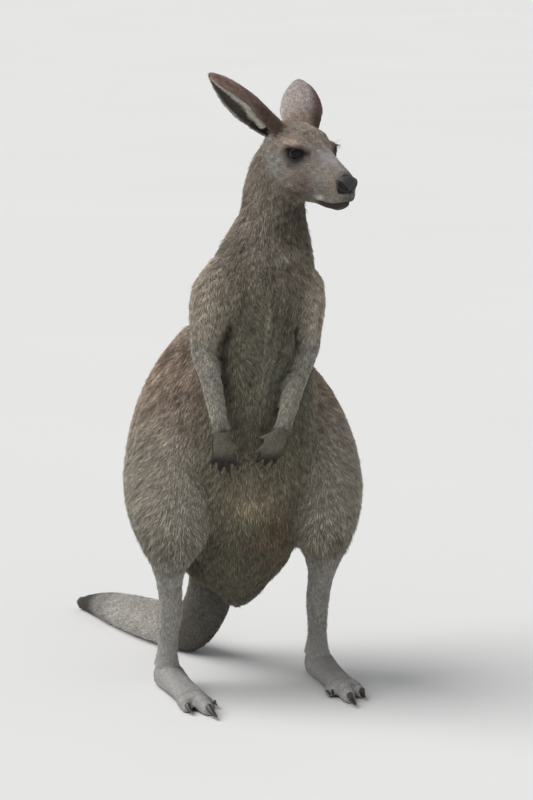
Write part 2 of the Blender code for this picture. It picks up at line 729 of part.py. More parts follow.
def build():
    clear_scene()
    group = collection("grey_kangaroo")
    cutters = collection("cutters")
    coat = material("grey_brown_coat", GREY_BROWN, 0.95)
    pale = material("pale_coat", PALE_GREY, 0.95)
    dark = material("dark_skin", DARK_SKIN, 0.6)
    horn = material("claw_horn", HORN, 0.35)
    wet = material("eye_surface", EYE_BROWN, 0.05)

    head = build_head(group, coat)
    eyes = [build_eye(f"eye_{word}", side, group, wet) for word, side in (("left", LEFT), ("right", RIGHT))]
    trimmed(head, eyes, cutters)
    nose = build_nose(group, dark)
    trimmed(nose, [head], cutters)
    ears = [build_ear(name, group, coat) for name in EARS]
    trunk, (neck, chest, belly, hips) = build_trunk(group, cutters, coat)
    for ear in ears:
        trimmed(ear, [head], cutters)
    trimmed(neck, [head], cutters)

    kept = [head, *eyes, nose, *ears, neck, chest, belly, hips]
    thighs = []
    for word, side in (("left", LEFT), ("right", RIGHT)):
        thigh, shin = build_leg(side, word, group, coat)
        trimmed(thigh, [trunk], cutters)
        trimmed(shin, [trunk], cutters)
        foot, claws = build_foot(word, group, pale, horn)
        trimmed(shin, [foot], cutters)
        for claw in claws:
            trimmed(claw, [foot], cutters)
        thighs.append(thigh)
        kept += [thigh, shin, foot, *claws]
    for word in ARMS:
        upper, fore = build_arm(word, group, coat)
        trimmed(upper, [trunk], cutters)
        trimmed(fore, [trunk], cutters)
        hand, claws = build_hand(word, group, dark, horn)
        trimmed(hand, [fore], cutters)
        for claw in claws:
            trimmed(claw, [hand], cutters)
        kept += [upper, fore, hand, *claws]
    tail = build_tail(group, coat)
    trimmed(tail[0], [trunk, *thighs], cutters)
    kept += tail
    bpy.data.objects.remove(trunk)
    centre_on_origin(kept)


build()
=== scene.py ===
"""A grey kangaroo doe as a still, life-size museum model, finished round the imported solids.

She stands on her hind feet and tail, faces -Y and looks to her left. Her skin is one mesh, her coat is made
of thin closed locks that grow from it, and her eyes, lids, nose and claws are pieces of their own.
"""

import math

import bmesh
import bpy
import numpy as np
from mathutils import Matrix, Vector


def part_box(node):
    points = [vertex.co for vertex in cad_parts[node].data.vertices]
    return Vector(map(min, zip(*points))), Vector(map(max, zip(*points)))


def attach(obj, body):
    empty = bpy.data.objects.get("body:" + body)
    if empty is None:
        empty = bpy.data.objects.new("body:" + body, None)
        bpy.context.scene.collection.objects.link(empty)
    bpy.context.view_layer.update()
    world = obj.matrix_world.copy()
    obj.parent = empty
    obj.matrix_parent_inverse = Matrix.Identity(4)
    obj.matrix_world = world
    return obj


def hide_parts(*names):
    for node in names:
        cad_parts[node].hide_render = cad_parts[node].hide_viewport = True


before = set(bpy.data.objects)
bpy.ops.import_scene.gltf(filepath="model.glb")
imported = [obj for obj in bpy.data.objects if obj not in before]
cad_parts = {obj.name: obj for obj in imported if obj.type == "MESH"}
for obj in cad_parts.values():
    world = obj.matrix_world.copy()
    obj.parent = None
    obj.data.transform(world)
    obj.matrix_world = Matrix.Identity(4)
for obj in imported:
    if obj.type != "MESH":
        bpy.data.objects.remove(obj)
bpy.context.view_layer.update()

# -------------------------------------------------------------- studio
# The model stands on a pale seamless floor that runs on past the view. One broad soft light comes from high
# on its right, a weak one fills its front, and the air round it is dim, so that its folds are shaded.

CAMERA_AT = (-1.156, -5.836, 1.39)
CAMERA_HEADING = math.radians(-12.0)
CAMERA_DOWN = math.radians(8.83)
LENS_MM = 153
FLOOR_HALF = 60.0
SKY_WHITE = (0.97, 0.985, 1.0)
# Each light's way, strength, width in degrees and colour.
LIGHTS = {
    "sky": ((-0.62, 0.1, 0.8), 2.75, 55, (1.0, 0.99, 0.97)),
    "front_fill": ((-0.1, -0.85, 0.5), 0.35, 90, SKY_WHITE),
}


def linked(name, data):
    """A new object in the scene for a mesh, a light or a camera."""
    made = bpy.data.objects.new(name, data)
    bpy.context.scene.collection.objects.link(made)
    return made


def set_up(node, **settings):
    """Sets a node's inputs, by value or link, and its properties. An input's name has _ for each space."""
    for key, value in settings.items():
        socket = node.inputs.get(key.replace("_", " "))
        if socket is None:
            setattr(node, key, value)
        elif isinstance(value, bpy.types.NodeSocket):
            node.id_data.links.new(value, socket)
        else:
            socket.default_value = value


def adding_to(tree):
    """A way to add a set-up node to a tree, which gives one of the node's output sockets."""

    def add(kind, output=0, **settings):
        node = tree.nodes.new("ShaderNode" + kind)
        set_up(node, **settings)
        return node.outputs[output]

    return add


def material(name):
    """A new material, a way to add nodes to it, and a way to set up its Principled shader."""
    made = bpy.data.materials.new(name)
    made.use_nodes = True
    shader = made.node_tree.nodes["Principled BSDF"]
    return made, adding_to(made.node_tree), lambda **settings: set_up(shader, **settings)


def floor_finish():
    """Warm off-white paper: broad noise makes its tone uneven by a hundredth or two."""
    made, add, shade = material("studio_floor")
    cloud = add("TexNoise", Vector=add("TexCoord", "Object"), Scale=0.7, Detail=4.0)
    tone = add("MapRange", Value=cloud, To_Min=0.74, To_Max=0.78)
    shade(Base_Color=add("CombineColor", Red=tone, Green=tone, Blue=tone), Roughness=0.9)
    return made


def build_floor():
    """One flat square, level with the soles."""
    mesh = bpy.data.meshes.new("floor")
    corners = [(x * FLOOR_HALF, y * FLOOR_HALF, 0) for x, y in ((-1, -1), (1, -1), (1, 1), (-1, 1))]
    mesh.from_pydata(corners, [], [(0, 1, 2, 3)])
    mesh.materials.append(floor_finish())
    return linked("floor", mesh)


def soft_light(name, way, strength, spread, colour):
    """A broad light from far off: the way it comes from, its strength, and how wide it looks in degrees."""
    lamp = bpy.data.lights.new(name, "SUN")
    lamp.energy = strength
    lamp.angle = math.radians(spread)
    lamp.color = colour
    linked(name, lamp).rotation_euler = Vector(way).to_track_quat("Z", "Y").to_euler()


def studio_air():
    """Even dim light all round, which brightens towards the horizon until it meets the floor's own tone."""
    air = bpy.data.worlds.new("studio")
    air.use_nodes = True
    add = adding_to(air.node_tree)
    height = add("SeparateXYZ", "Z", Vector=add("TexCoord", "Generated"))
    strengths = {"From_Min": 0.03, "From_Max": 0.35, "To_Min": 0.74, "To_Max": 0.3}
    strength = add("MapRange", Value=height, interpolation_type="SMOOTHSTEP", **strengths)
    set_up(air.node_tree.nodes["Background"], Strength=strength, Color=(*SKY_WHITE, 1))
    return air


camera = linked("camera", bpy.data.cameras.new("camera"))
camera.location = CAMERA_AT
camera.rotation_euler = (math.radians(90) - CAMERA_DOWN, 0, CAMERA_HEADING)
camera.data.lens = LENS_MM
camera.data.sensor_width = 36
camera.data.clip_end = 200
bpy.context.scene.camera = camera
build_floor()
for name, settings in LIGHTS.items():
    soft_light(name, *settings)
bpy.context.scene.world = studio_air()
bpy.context.scene.view_settings.view_transform = "Standard"

# ---------------------------------------------------------------- skin
# Her hide is one closed surface under the coat, from the ears' tips to the toes and the tail's tip. It is
# made by fusing the solids of flesh into one, easing their seams, and sinking the whole by the depth of the
# coat. The lids, the lips and the folds of the body are then drawn into it.

SIDES = ("left", "right")
EARS, HANDS, FEET = (tuple(f"{name}_{side}" for side in SIDES) for name in ("ear", "hand", "foot"))
FLESH = [n for n in sorted(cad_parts) if not n.startswith(("claw_", "eye_", "nose"))]
SWELL = 0.0004
VOXEL = 0.0019
SKIN_TRIANGLES = 160_000


def read(items, field, width, kind=float):
    """One field of all the items in a mesh's list, as rows of that width."""
    values = np.empty(len(items) * width, kind)
    items.foreach_get(field, values)
    return values.reshape(-1, width)


def mesh_arrays(mesh):
    """A mesh's points, its triangles and its edges, as arrays."""
    mesh.calc_loop_triangles()
    triangles = read(mesh.loop_triangles, "vertices", 3, int)
    return read(mesh.vertices, "co", 3), triangles, read(mesh.edges, "vertices", 2, int)


def node_points(name):
    """A CAD node's points, each once, and its triangles as rows of three point numbers."""
    points, triangles, _ = mesh_arrays(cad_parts[name].data)
    once, which = np.unique(np.round(points, 6), axis=0, return_inverse=True)
    triangles = which.ravel()[triangles]
    return once, triangles[(triangles != np.roll(triangles, 1, 1)).all(1)]


def unit(vectors):
    """The vectors, each divided by its length."""
    return vectors / np.maximum(np.linalg.norm(vectors, axis=-1, keepdims=True), 1e-12)


def flattened(ways, normals):
    """The ways less their shares along the normals, made one long."""
    return unit(ways - (ways * normals).sum(-1)[:, None] * normals)


def crossed(points, triangles):
    """Each triangle's cross product, which stands square to it and is twice its area long."""
    a, b, c = points[triangles].swapaxes(0, 1)
    return np.cross(b - a, c - a)


def point_normals(points, triangles):
    """At each point, the sum of its triangles' cross products, made one long."""
    shares = np.tile(crossed(points, triangles), (3, 1)).T
    return unit(np.stack([np.bincount(triangles.T.ravel(), share, len(points)) for share in shares], 1))


def averaged(values, edges, rounds, share=0.5, kept=0.0):
    """Moves each point's value that share of the way to its neighbours' mean, over and over.

    Kept is 0 where a point moves freely and 1 where it stays.
    """
    ends, others = np.concatenate([edges, edges[:, ::-1]]).T.copy()
    count = np.maximum(np.bincount(ends, minlength=len(values)), 1)
    columns = values.reshape(len(values), -1).T.copy()
    for _ in range(rounds):
        for column in columns:
            column += share * (1 - kept) * (np.bincount(ends, column[others], len(values)) / count - column)
    return columns.T.reshape(values.shape).copy()


def step(value, start, end):
    """0 up to the start and 1 from the end on, with a smooth S between: 3t squared less 2t cubed."""
    t = np.clip((value - start) / (end - start), 0, 1)
    return t * t * (3 - 2 * t)


def fade(value, start, end):
    """1 up to the start and 0 from the end on: 1 less the step."""
    return 1 - step(value, start, end)


def hump(value, middle, reach, power=2):
    """1 at the middle and less away from it: e to the minus power of the distance over the reach."""
    return np.exp(-(((value - middle) / reach) ** power))


def bump_at(places, centre, reach):
    """The product of the humps along each of the places' axes."""
    return np.exp(-(((places - np.array(centre)) / np.array(reach)) ** 2).sum(1))


def ripple(points, size, seed, waves=7):
    """An uneven value of about -1 to 1: the sum of sines along random directions, about that size apart."""
    rng = np.random.default_rng(seed)
    ways = unit(rng.normal(size=(waves, 3))) * (2 * math.pi / size) * rng.uniform(0.6, 1.6, (waves, 1))
    return np.sin(points @ ways.T + rng.uniform(0, 2 * math.pi, waves)).sum(1) / math.sqrt(2 * waves)


def mesh_of(name, points, faces):
    """A smooth mesh from an array of points and an array of triangles."""
    mesh = bpy.data.meshes.new(name)
    mesh.vertices.add(len(points))
    mesh.vertices.foreach_set("co", np.ascontiguousarray(points, np.float32).ravel())
    mesh.loops.add(faces.size)
    mesh.loops.foreach_set("vertex_index", np.ascontiguousarray(faces, np.int32).ravel())
    mesh.polygons.add(len(faces))
    mesh.polygons.foreach_set("loop_start", np.arange(0, faces.size, 3, dtype=np.int32))
    mesh.update(calc_edges=True)
    mesh.polygons.foreach_set("use_smooth", np.ones(len(faces), bool))
    return mesh


def colour_attribute(mesh, name, colours):
    """Keeps a colour for each point of a mesh, or one for all of them."""
    solid = np.ones((len(mesh.vertices), 4), np.float32)
    solid[:, :3] = colours
    mesh.color_attributes.new(name, "FLOAT_COLOR", "POINT").data.foreach_set("color", solid.ravel())


def placed(mesh, finish, slot, *stands_for):
    """A piece at the origin, named as its mesh is. It rides with the body and stands for those CAD nodes."""
    made = linked(mesh.name, mesh)
    mesh.materials.append(finish)
    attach(made, "root")
    if stands_for:
        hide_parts(*stands_for)


def modified(thing, kind, **settings):
    """The mesh that a modifier makes of an object. The object and its first mesh are removed."""
    modifier = thing.modifiers.new(kind.lower(), kind)
    for key, value in settings.items():
        setattr(modifier, key, value)
    made = bpy.data.meshes.new_from_object(thing.evaluated_get(bpy.context.evaluated_depsgraph_get()))
    old = thing.data
    bpy.data.objects.remove(thing)
    bpy.data.meshes.remove(old)
    return made


def middle(name):
    """The middle of a CAD node's box."""
    low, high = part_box(name)
    return np.array((low + high) / 2)


def stem(name):
    """A node's name without its side."""
    return name.removesuffix("_left").removesuffix("_right")


# Her head's own directions come from her two eyes.
EYE_AT = {side: middle(f"eye_{side}") for side in SIDES}
EYE_RADIUS = (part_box("eye_left")[1].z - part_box("eye_left")[0].z) / 2
EYE_LINE = (EYE_AT["left"] + EYE_AT["right"]) / 2
SIDE = unit(EYE_AT["left"] - EYE_AT["right"])
UP = np.array((0.0, 0.0, 1.0))
FORE = np.cross(SIDE, UP)
HEAD_WAYS = np.stack([FORE, SIDE, UP])


def in_head_frame(points):
    """How far ahead of the eyes, to her left of the middle and above the eyes each point is."""
    away = points - EYE_LINE
    return away @ FORE, away @ SIDE, away @ UP


def head_way(fore, side, up):
    """A direction given along the head's own fore, side and up."""
    return FORE * fore + SIDE * side + UP * up


# The shells of the ears: the same walls as the solids', drawn with finer rings. A station is a share of the
# length, the radius of the wall's curve, and the degrees that it wraps from the middle of the back to the
# trailing edge and to the leading edge. A place is the ear's base, the ways that its length and its hollow
# face, how much wider than its stations it is, and which way it leads.
EAR_LENGTH = 0.134
EAR_WALL = 0.0042
EAR_LEAN = 0.55
EAR_STATIONS = np.array((
    (-0.18, 0.017, 165, 165), (0.02, 0.02, 150, 150), (0.18, 0.025, 118, 121), (0.4, 0.0305, 90, 98),
    (0.62, 0.03, 80, 101), (0.82, 0.0225, 70, 110), (0.95, 0.012, 63, 118), (1.0, 0.0055, 58, 120),
))
EAR_PLACES = {
    "ear_right": ((-0.06, -0.036, 0.048), (-0.44, -0.66, 0.6), (0.1, -0.75, -0.45), 1.0, 1),
    "ear_left": ((-0.065, 0.034, 0.034), (-0.62, 0.52, 0.52), (-0.3, 0.45, -0.75), 1.15, -1),
}


def read_off(stations, at):
    """Each later column of some stations, on straight lines between them, where the first has that value."""
    return [np.interp(at, stations[:, 0], column) for column in stations.T[1:]]


def spline(stations, count):
    """Rows read from a Catmull-Rom curve through the stations, at even steps of station number."""
    at = np.linspace(0, len(stations) - 1, count)
    first = np.minimum(at.astype(int), len(stations) - 2)
    t = (at - first)[:, None]
    padded = np.vstack([2 * stations[0] - stations[1], stations, 2 * stations[-1] - stations[-2]])
    a, b, c, d = (padded[first + k] for k in range(4))
    return 0.5 * (2 * b + (c - a) * t + (2 * a - 5 * b + 4 * c - d) * t**2 + (3 * b - a - 3 * c + d) * t**3)


def ear_ways(name):
    """An ear's base, the way its length runs, the way its hollow faces, the way it leads, and its spread."""
    base, up, opening, spread, leads = EAR_PLACES[name]
    up, opening = unit(head_way(*up)), head_way(*opening)
    opening = unit(opening - up * (opening @ up))
    return EYE_LINE + head_way(*base), up, opening, np.cross(up, opening) * leads, spread


def outward(points, triangles):
    """The same closed surface with its triangles turned, if its volume comes out below nothing."""
    a, b, c = points[triangles].swapaxes(0, 1)
    return points, triangles[:, ::-1] if (np.cross(a, b) * c).sum() < 0 else triangles


def walled(rings, ends=None):
    """Points and triangles of closed tubes, from an array of tubes by stations by sides by 3.

    Each ring joins the next. A fan closes each end at its own point, or else the last ring joins the first.
    """
    count, stations, sides = rings.shape[:3]
    number = np.arange(stations * sides).reshape(stations, sides)
    a, b = (number, np.roll(number, -1, 0)) if ends is None else (number[:-1], number[1:])
    quads = np.stack([a, np.roll(a, -1, 1), np.roll(b, -1, 1), b], -1).reshape(-1, 4)
    faces = [quads[:, (0, 1, 2)], quads[:, (0, 2, 3)]]
    points = rings.reshape(count, -1, 3)
    if ends is not None:
        low, high = np.full(sides, stations * sides), np.full(sides, stations * sides + 1)
        faces.append(np.stack([low, np.roll(number[0], -1), number[0]], 1))
        faces.append(np.stack([high, number[-1], np.roll(number[-1], -1)], 1))
        points = np.concatenate([points, ends], 1)
    each = np.arange(count)[:, None, None] * points.shape[1]
    return outward(points.reshape(-1, 3), (each + np.vstack(faces)).reshape(-1, 3))


def capped(grid):
    """Points and triangles of one closed tube, whose ends are the means of its first and last rings."""
    return walled(grid[None], np.stack([grid[0].mean(0), grid[-1].mean(0)])[None])


def ear_shell(name, rings=64, sides=30):
    """A closed shell of an ear: each ring runs along its back from edge to edge and home by its inside."""
    base, up, opening, across, spread = ear_ways(name)
    share, radius, trailing, leading = spline(EAR_STATIONS, rings).T[:, :, None]
    swing = np.radians(-trailing + (trailing + leading) * np.linspace(0, 1, sides))
    back = np.cos(swing)[..., None] * -opening + np.sin(swing)[..., None] * across
    centre = base + up * share[..., None] * EAR_LENGTH + opening * radius[..., None] * EAR_LEAN
    outer = centre + back * (radius * spread)[..., None]
    inner = centre + back * (radius * spread - EAR_WALL)[..., None]
    return capped(np.concatenate([outer, inner[:, ::-1]], axis=1))


def fuse_flesh():
    """All the flesh in one shell: each solid swollen by a hair's breadth, and all remeshed together."""
    points, triangles, count = [], [], 0
    for name in FLESH + ["eye_left", "eye_right", "nose"]:
        some, faces = ear_shell(name) if name in EARS else cad_points[name]
        points.append(some + point_normals(some, faces) * SWELL)
        triangles.append(faces + count)
        count += len(some)
    flesh = linked("flesh", mesh_of("flesh", np.concatenate(points), np.concatenate(triangles)))
    return modified(flesh, "REMESH", mode="VOXEL", voxel_size=VOXEL)


def inside_boxes(points, names, margin):
    """Which points lie in the box of any of the named nodes, grown by the margin."""
    found = np.zeros(len(points), bool)
    for name in names:
        low, high = (np.array(corner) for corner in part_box(name))
        found |= ((points > low - margin) & (points < high + margin)).all(1)
    return found


def thinned(mesh, fineness):
    """The mesh merged down to the skin's triangles, with longer edges where the fineness is less.

    An edge's cost grows by its length times 2 less its ends' weights, so a weight is 1 less that fineness.
    """
    coarse = linked("thinned", mesh)
    group = coarse.vertex_groups.new(name="coarse")
    for value in np.unique(fineness):
        group.add(np.flatnonzero(fineness == value).tolist(), 1.0 - value, "REPLACE")
    ratio = SKIN_TRIANGLES / (2 * len(mesh.polygons))
    weights = {"vertex_group": "coarse", "vertex_group_factor": 4.0}
    return modified(coarse, "DECIMATE", ratio=ratio, use_collapse_triangulate=True, **weights)


def refined(mesh, centre, reach, cuts):
    """Splits the edges that lie wholly within the reach of a centre, and makes the pieces triangles."""
    points, _, edges = mesh_arrays(mesh)
    near = np.linalg.norm(points - centre, axis=1) < reach
    work = bmesh.new()
    work.from_mesh(mesh)
    work.edges.ensure_lookup_table()
    chosen = [work.edges[number] for number in np.flatnonzero(near[edges].all(1))]
    bmesh.ops.subdivide_edges(work, edges=chosen, cuts=cuts, use_grid_fill=True)
    bmesh.ops.triangulate(work, faces=work.faces[:])
    work.to_mesh(mesh)
    work.free()


def spread_over(points, triangles, spacing=0.0055):
    """Places over a surface, about one to each square of that spacing and at least one to a triangle.

    Each is a corner plus r1 of the way along one edge and r2 along the other, folded back where r1 + r2 > 1.
    """
    rng = np.random.default_rng(3)
    a, b, c = points[triangles].swapaxes(0, 1)
    area = np.linalg.norm(crossed(points, triangles), axis=1) / 2
    number = np.repeat(np.arange(len(triangles)), np.ceil(area / spacing**2).astype(int))
    along = rng.uniform(0, 1, (len(number), 2))
    along = np.where(along.sum(1, keepdims=True) > 1, 1 - along, along)
    return a[number] + (b - a)[number] * along[:, :1] + (c - a)[number] * along[:, 1:]


def gaps(points, cloud, block=2000):
    """The square of each point's distance to the nearest place of a cloud, by blocks: p.p + c.c - 2 p.c."""
    squares = (cloud**2).sum(1)
    blocks = np.array_split(points, len(points) // block + 1)
    return np.concatenate([(squares - 2 * some @ cloud.T).min(1) for some in blocks]) + (points**2).sum(1)


def nearest_nodes(points, margin=0.015):
    """For each point, the number of the part of flesh that is nearest, of those whose boxes it is near."""
    least, nearest = np.full(len(points), np.inf), np.zeros(len(points), int)
    for number, name in enumerate(FLESH):
        cloud = ear_shell(name)[0][::3] if name in EARS else spread_over(*cad_points[name])
        near = np.flatnonzero(inside_boxes(points, (name,), margin))
        apart = gaps(points[near], cloud)
        closer = apart < least[near]
        least[near[closer]] = apart[closer]
        nearest[near[closer]] = number
    return nearest


cad_points = {name: node_points(name) for name in sorted(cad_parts)}
shell = fuse_flesh()
points, triangles, edges = mesh_arrays(shell)
in_head = inside_boxes(points, ("head",), 0.004)
in_paw = inside_boxes(points, HANDS + FEET, 0.002)
in_ear = inside_boxes(points, EARS, 0.002) & (points[:, 2] > EYE_LINE[2] + 0.05)
# The seams between solids are eased, and thin or small shapes are held as they are.
held = averaged(np.select([in_ear, in_paw, in_head], [0.9, 0.86, 0.4]), edges, 8)
points = averaged(points, edges, 32, 0.5, held)
shell.vertices.foreach_set("co", points.astype(np.float32).ravel())
in_hand = inside_boxes(points, HANDS, 0.004)
skin_mesh = thinned(shell, np.select([in_hand, in_ear, in_head | in_paw], [0.8, 0.6, 0.5], 0.25))
for eye in EYE_AT.values():
    refined(skin_mesh, eye, 0.03, 2)
refined(skin_mesh, EYE_LINE + head_way(0.075, 0, -0.065), 0.036, 1)
points, triangles, edges = mesh_arrays(skin_mesh)
part = nearest_nodes(points)


def on(*names):
    """Which points belong to the named parts, on both sides where only a stem is given."""
    return np.isin(part, [k for k, name in enumerate(FLESH) if name in names or stem(name) in names])


# Each part's coat: how deep it is, how long its locks are, how wide, how steeply they rise, and how its
# density compares. Then its colour, and which way its hair runs: a direction, from one node's middle to
# another's, or up the ear.
DOWN_AND_BACK = (0, 0.1, -1.0)
PARTS = {
    "head": ((0.0024, 0.008, 0.0011, 0.3, 3.4), (0.275, 0.232, 0.198), -FORE - UP * 0.25),
    "neck": ((0.0052, 0.014, 0.0012, 0.34, 1.9), (0.262, 0.224, 0.182), DOWN_AND_BACK),
    # The chest and belly are coloured darker than their hair is, as painted shade on her front.
    "chest": ((0.005, 0.0135, 0.0012, 0.28, 1.6), (0.15, 0.136, 0.1), DOWN_AND_BACK),
    "belly": ((0.005, 0.0135, 0.0012, 0.27, 1.4), (0.164, 0.154, 0.11), DOWN_AND_BACK),
    "hips": ((0.005, 0.0135, 0.0014, 0.28, 1.1), (0.14, 0.124, 0.088), DOWN_AND_BACK),
    "thigh": ((0.0048, 0.013, 0.0012, 0.28, 1.4), (0.35, 0.318, 0.262), (0, 0.45, -1.0)),
    "shin": ((0.0028, 0.0085, 0.0011, 0.28, 2.3), (0.385, 0.372, 0.336), DOWN_AND_BACK),
    "foot": ((0.0012, 0.0042, 0.0008, 0.18, 3.2), (0.5, 0.495, 0.495), ("foot", "claw_hind_fourth")),
    "upper_arm": ((0.0042, 0.012, 0.0013, 0.3, 2.0), (0.42, 0.365, 0.295), DOWN_AND_BACK),
    "forearm": ((0.0026, 0.008, 0.0011, 0.27, 2.6), (0.335, 0.318, 0.27), ("upper_arm", "hand")),
    "hand": ((0.0009, 0.003, 0.0007, 0.2, 3.6), (0.038, 0.035, 0.028), ("forearm", "hand")),
    "tail_root": ((0.005, 0.013, 0.0015, 0.3, 1.3), (0.095, 0.088, 0.073), ("tail_root", "tail_mid")),
    "tail_mid": ((0.0036, 0.009, 0.0011, 0.27, 1.8), (0.11, 0.101, 0.086), ("tail_root", "tail_end")),
    "tail_end": ((0.003, 0.0075, 0.001, 0.25, 2.2), (0.51, 0.485, 0.45), ("tail_end", "tail_tip")),
    "tail_tip": ((0.0026, 0.0075, 0.001, 0.26, 2.4), (0.3, 0.28, 0.255), ("tail_end", "tail_tip")),
    "ear": ((0.0009, 0.006, 0.0011, 0.22, 3.0), (0.43, 0.375, 0.35), None),
}


def part_row(name):
    """One part's coat, colour and direction of its hair, as one row of numbers."""
    sizes, colour, runs = PARTS[stem(name)]
    if runs is None:
        runs = ear_ways(name)[1]
    elif isinstance(runs[0], str):
        start, end = (middle(node + name[len(stem(name)):]) for node in runs)
        runs = end - start
    return [*sizes, *colour, *unit(np.array(runs))]


values = averaged(np.array([part_row(name) for name in FLESH])[part], edges, 20, 0.6)
on_ear = on(*EARS)
on_head = averaged((on("head") | on_ear).astype(float), edges, 12, 0.6)
fore, side, up = in_head_frame(points)
# The coat gets shallower, shorter and finer along the muzzle.
values[:, :3] *= 1 - np.outer(on_head * step(fore, -0.045, 0.07), (0.55, 0.52, 0.25))
depth, length, width, rise, thickly = values[:, :5].T.copy()
tint, lie = values[:, 5:8], values[:, 8:11]
growth = np.ones(len(points))
normals = unit(averaged(point_normals(points, triangles), edges, 6))
points = points - normals * depth[:, None]
points[:, 2] = np.maximum(points[:, 2], 0.0008)
points = averaged(points, edges, 2, 0.4, np.where(depth < 0.003, 0.8, 0.0))
normals = point_normals(points, triangles)
x, y, z = points.T
normal_x, normal_y, normal_z = normals.T


def painted(where, colour):
    """Draws the markings towards a colour by the share given at each point."""
    share = np.clip(where, 0, 1)[:, None]
    tint[:] = tint * (1 - share) + np.array(colour) * share


def pushed(rise):
    """Moves each point along its normal by the rise given there, and works the normals out again."""
    points[:] = points + normals * rise[:, None]
    normals[:] = point_normals(points, triangles)


# Her face's patches, on both sides alike, in millimetres: ahead of the eyes, out from the middle and above
# the eyes, then the reach of each, its colour and its strength.
FACE_PATCHES = {
    "crown": ((-50, 0, 50), (35, 40, 25), (0.225, 0.172, 0.132), 0.9),
    "forehead": ((5, 0, 40), (35, 22, 22), (0.285, 0.235, 0.19), 0.9),
    "brow": ((-2, 43, 19), (27, 12, 8), (0.54, 0.4, 0.32), 0.95),
    "brow_front": ((26, 26, 10), (14, 10, 9), (0.4, 0.32, 0.275), 0.8),
    "muzzle_top": ((52, 0, -10), (36, 20, 18), (0.43, 0.406, 0.398), 0.95),
    "muzzle_side": ((45, 28, -40), (24, 14, 14), (0.345, 0.322, 0.296), 0.9),
    "cheek": ((-40, 50, -30), (30, 22, 30), (0.31, 0.306, 0.275), 0.95),
    "under_eye": ((0, 46, -20.5), (14, 10, 6), (0.11, 0.082, 0.066), 0.85),
    "jowl": ((18, 36, -47), (19, 14, 15), (0.185, 0.138, 0.118), 0.8),
    # The jaw and chin are dark partly in their own hair and partly as painted shade under the head.
    "jaw": ((-10, 28, -72), (35, 22, 12), (0.105, 0.095, 0.064), 0.9),
    "chin": ((55, 0, -95), (45, 20, 9), (0.05, 0.044, 0.033), 0.95),
    "lip": ((70, 24, -69), (20, 10, 9), (0.33, 0.32, 0.27), 0.9),
    "lip_front": ((92, 6, -73), (6, 10, 6), (0.13, 0.124, 0.112), 0.9),
    "mouth_corner": ((41, 22, -72.5), (9, 12, 6), (0.72, 0.68, 0.6), 0.95),
}
face = np.stack([fore, np.abs(side), up], 1)
for place, reach, colour, strength in FACE_PATCHES.values():
    painted(on_head * strength * bump_at(face, np.array(place) / 1000, np.array(reach) / 1000), colour)

# The lids are drawn in each eye's own frame: across towards the nose, up, and out along the eye's look. Share
# is 1 on the opening's edge. From under the ball's surface, the lid's edge comes up by steps, each with its
# rise and the shares where it starts and ends. A fold has its rise, the share it follows and its reach there,
# and whether it lies above or below, with the heights between which it comes up.
EYE_LOOK = (0.43, 0.88, 0.1)
OPEN_HALF, OPEN_ABOVE, OPEN_BELOW = 0.0139, 0.0066, 0.011
LID_REACH = 0.0285
LID_UNDER = 0.003
LID_STEPS = ((0.004, 0.93, 1.0), (0.0009, 1.0, 1.14))
LID_FOLDS = {
    "hood": (0.0018, 1.34, 0.2, 1, 0.001, 0.007),
    "crease": (-0.0013, 1.62, 0.1, 1, -0.001, 0.006),
    "bag": (-0.0008, 1.5, 0.1, -1, -0.001, 0.006),
}
LID_SKIN, LID_SHADE, EYE_STREAK = (0.016, 0.012, 0.011), (0.07, 0.054, 0.045), (0.026, 0.02, 0.017)


def eye_ways(word):
    """An eye's middle, and the ways across it towards the nose, up it, and out of it."""
    turn = 1 if word == "left" else -1
    out = unit(head_way(EYE_LOOK[0], turn * EYE_LOOK[1], EYE_LOOK[2]))
    across = unit(FORE - out * (FORE @ out))
    return EYE_AT[word], across, unit(UP - out * (UP @ out) - across * (UP @ across)), out


def corner_power(across, above):
    """The power of the opening's superellipse: squarer behind and above, nearly a point towards the nose."""
    return 2.3 + 0.9 * step(above, -0.0005, 0.0005) - 0.75 * step(across, -0.004, 0.012)


def lid_share(across, above):
    """How far out from the eye's middle a place lies, as a share of the way to the opening's edge."""
    power = corner_power(across, above)
    tall = np.where(above > 0, OPEN_ABOVE, OPEN_BELOW)
    return ((np.abs(across) / OPEN_HALF) ** power + (np.abs(above) / tall) ** power) ** (1 / power)


def ball_height(across, above):
    """How far the eyeball stands out over a place on it: the third side of a right triangle."""
    return np.sqrt(np.maximum(EYE_RADIUS**2 - across**2 - above**2, (0.2 * EYE_RADIUS) ** 2))


def face_height(across, above, height, near):
    """The face's own height there, as if there were no eye: a quadratic fitted to the ring round it."""
    one = np.ones_like(across)
    terms = np.stack([one, across, above, across * across, across * above, above * above], 1)
    return terms @ np.linalg.lstsq(terms[near], height[near], rcond=None)[0]


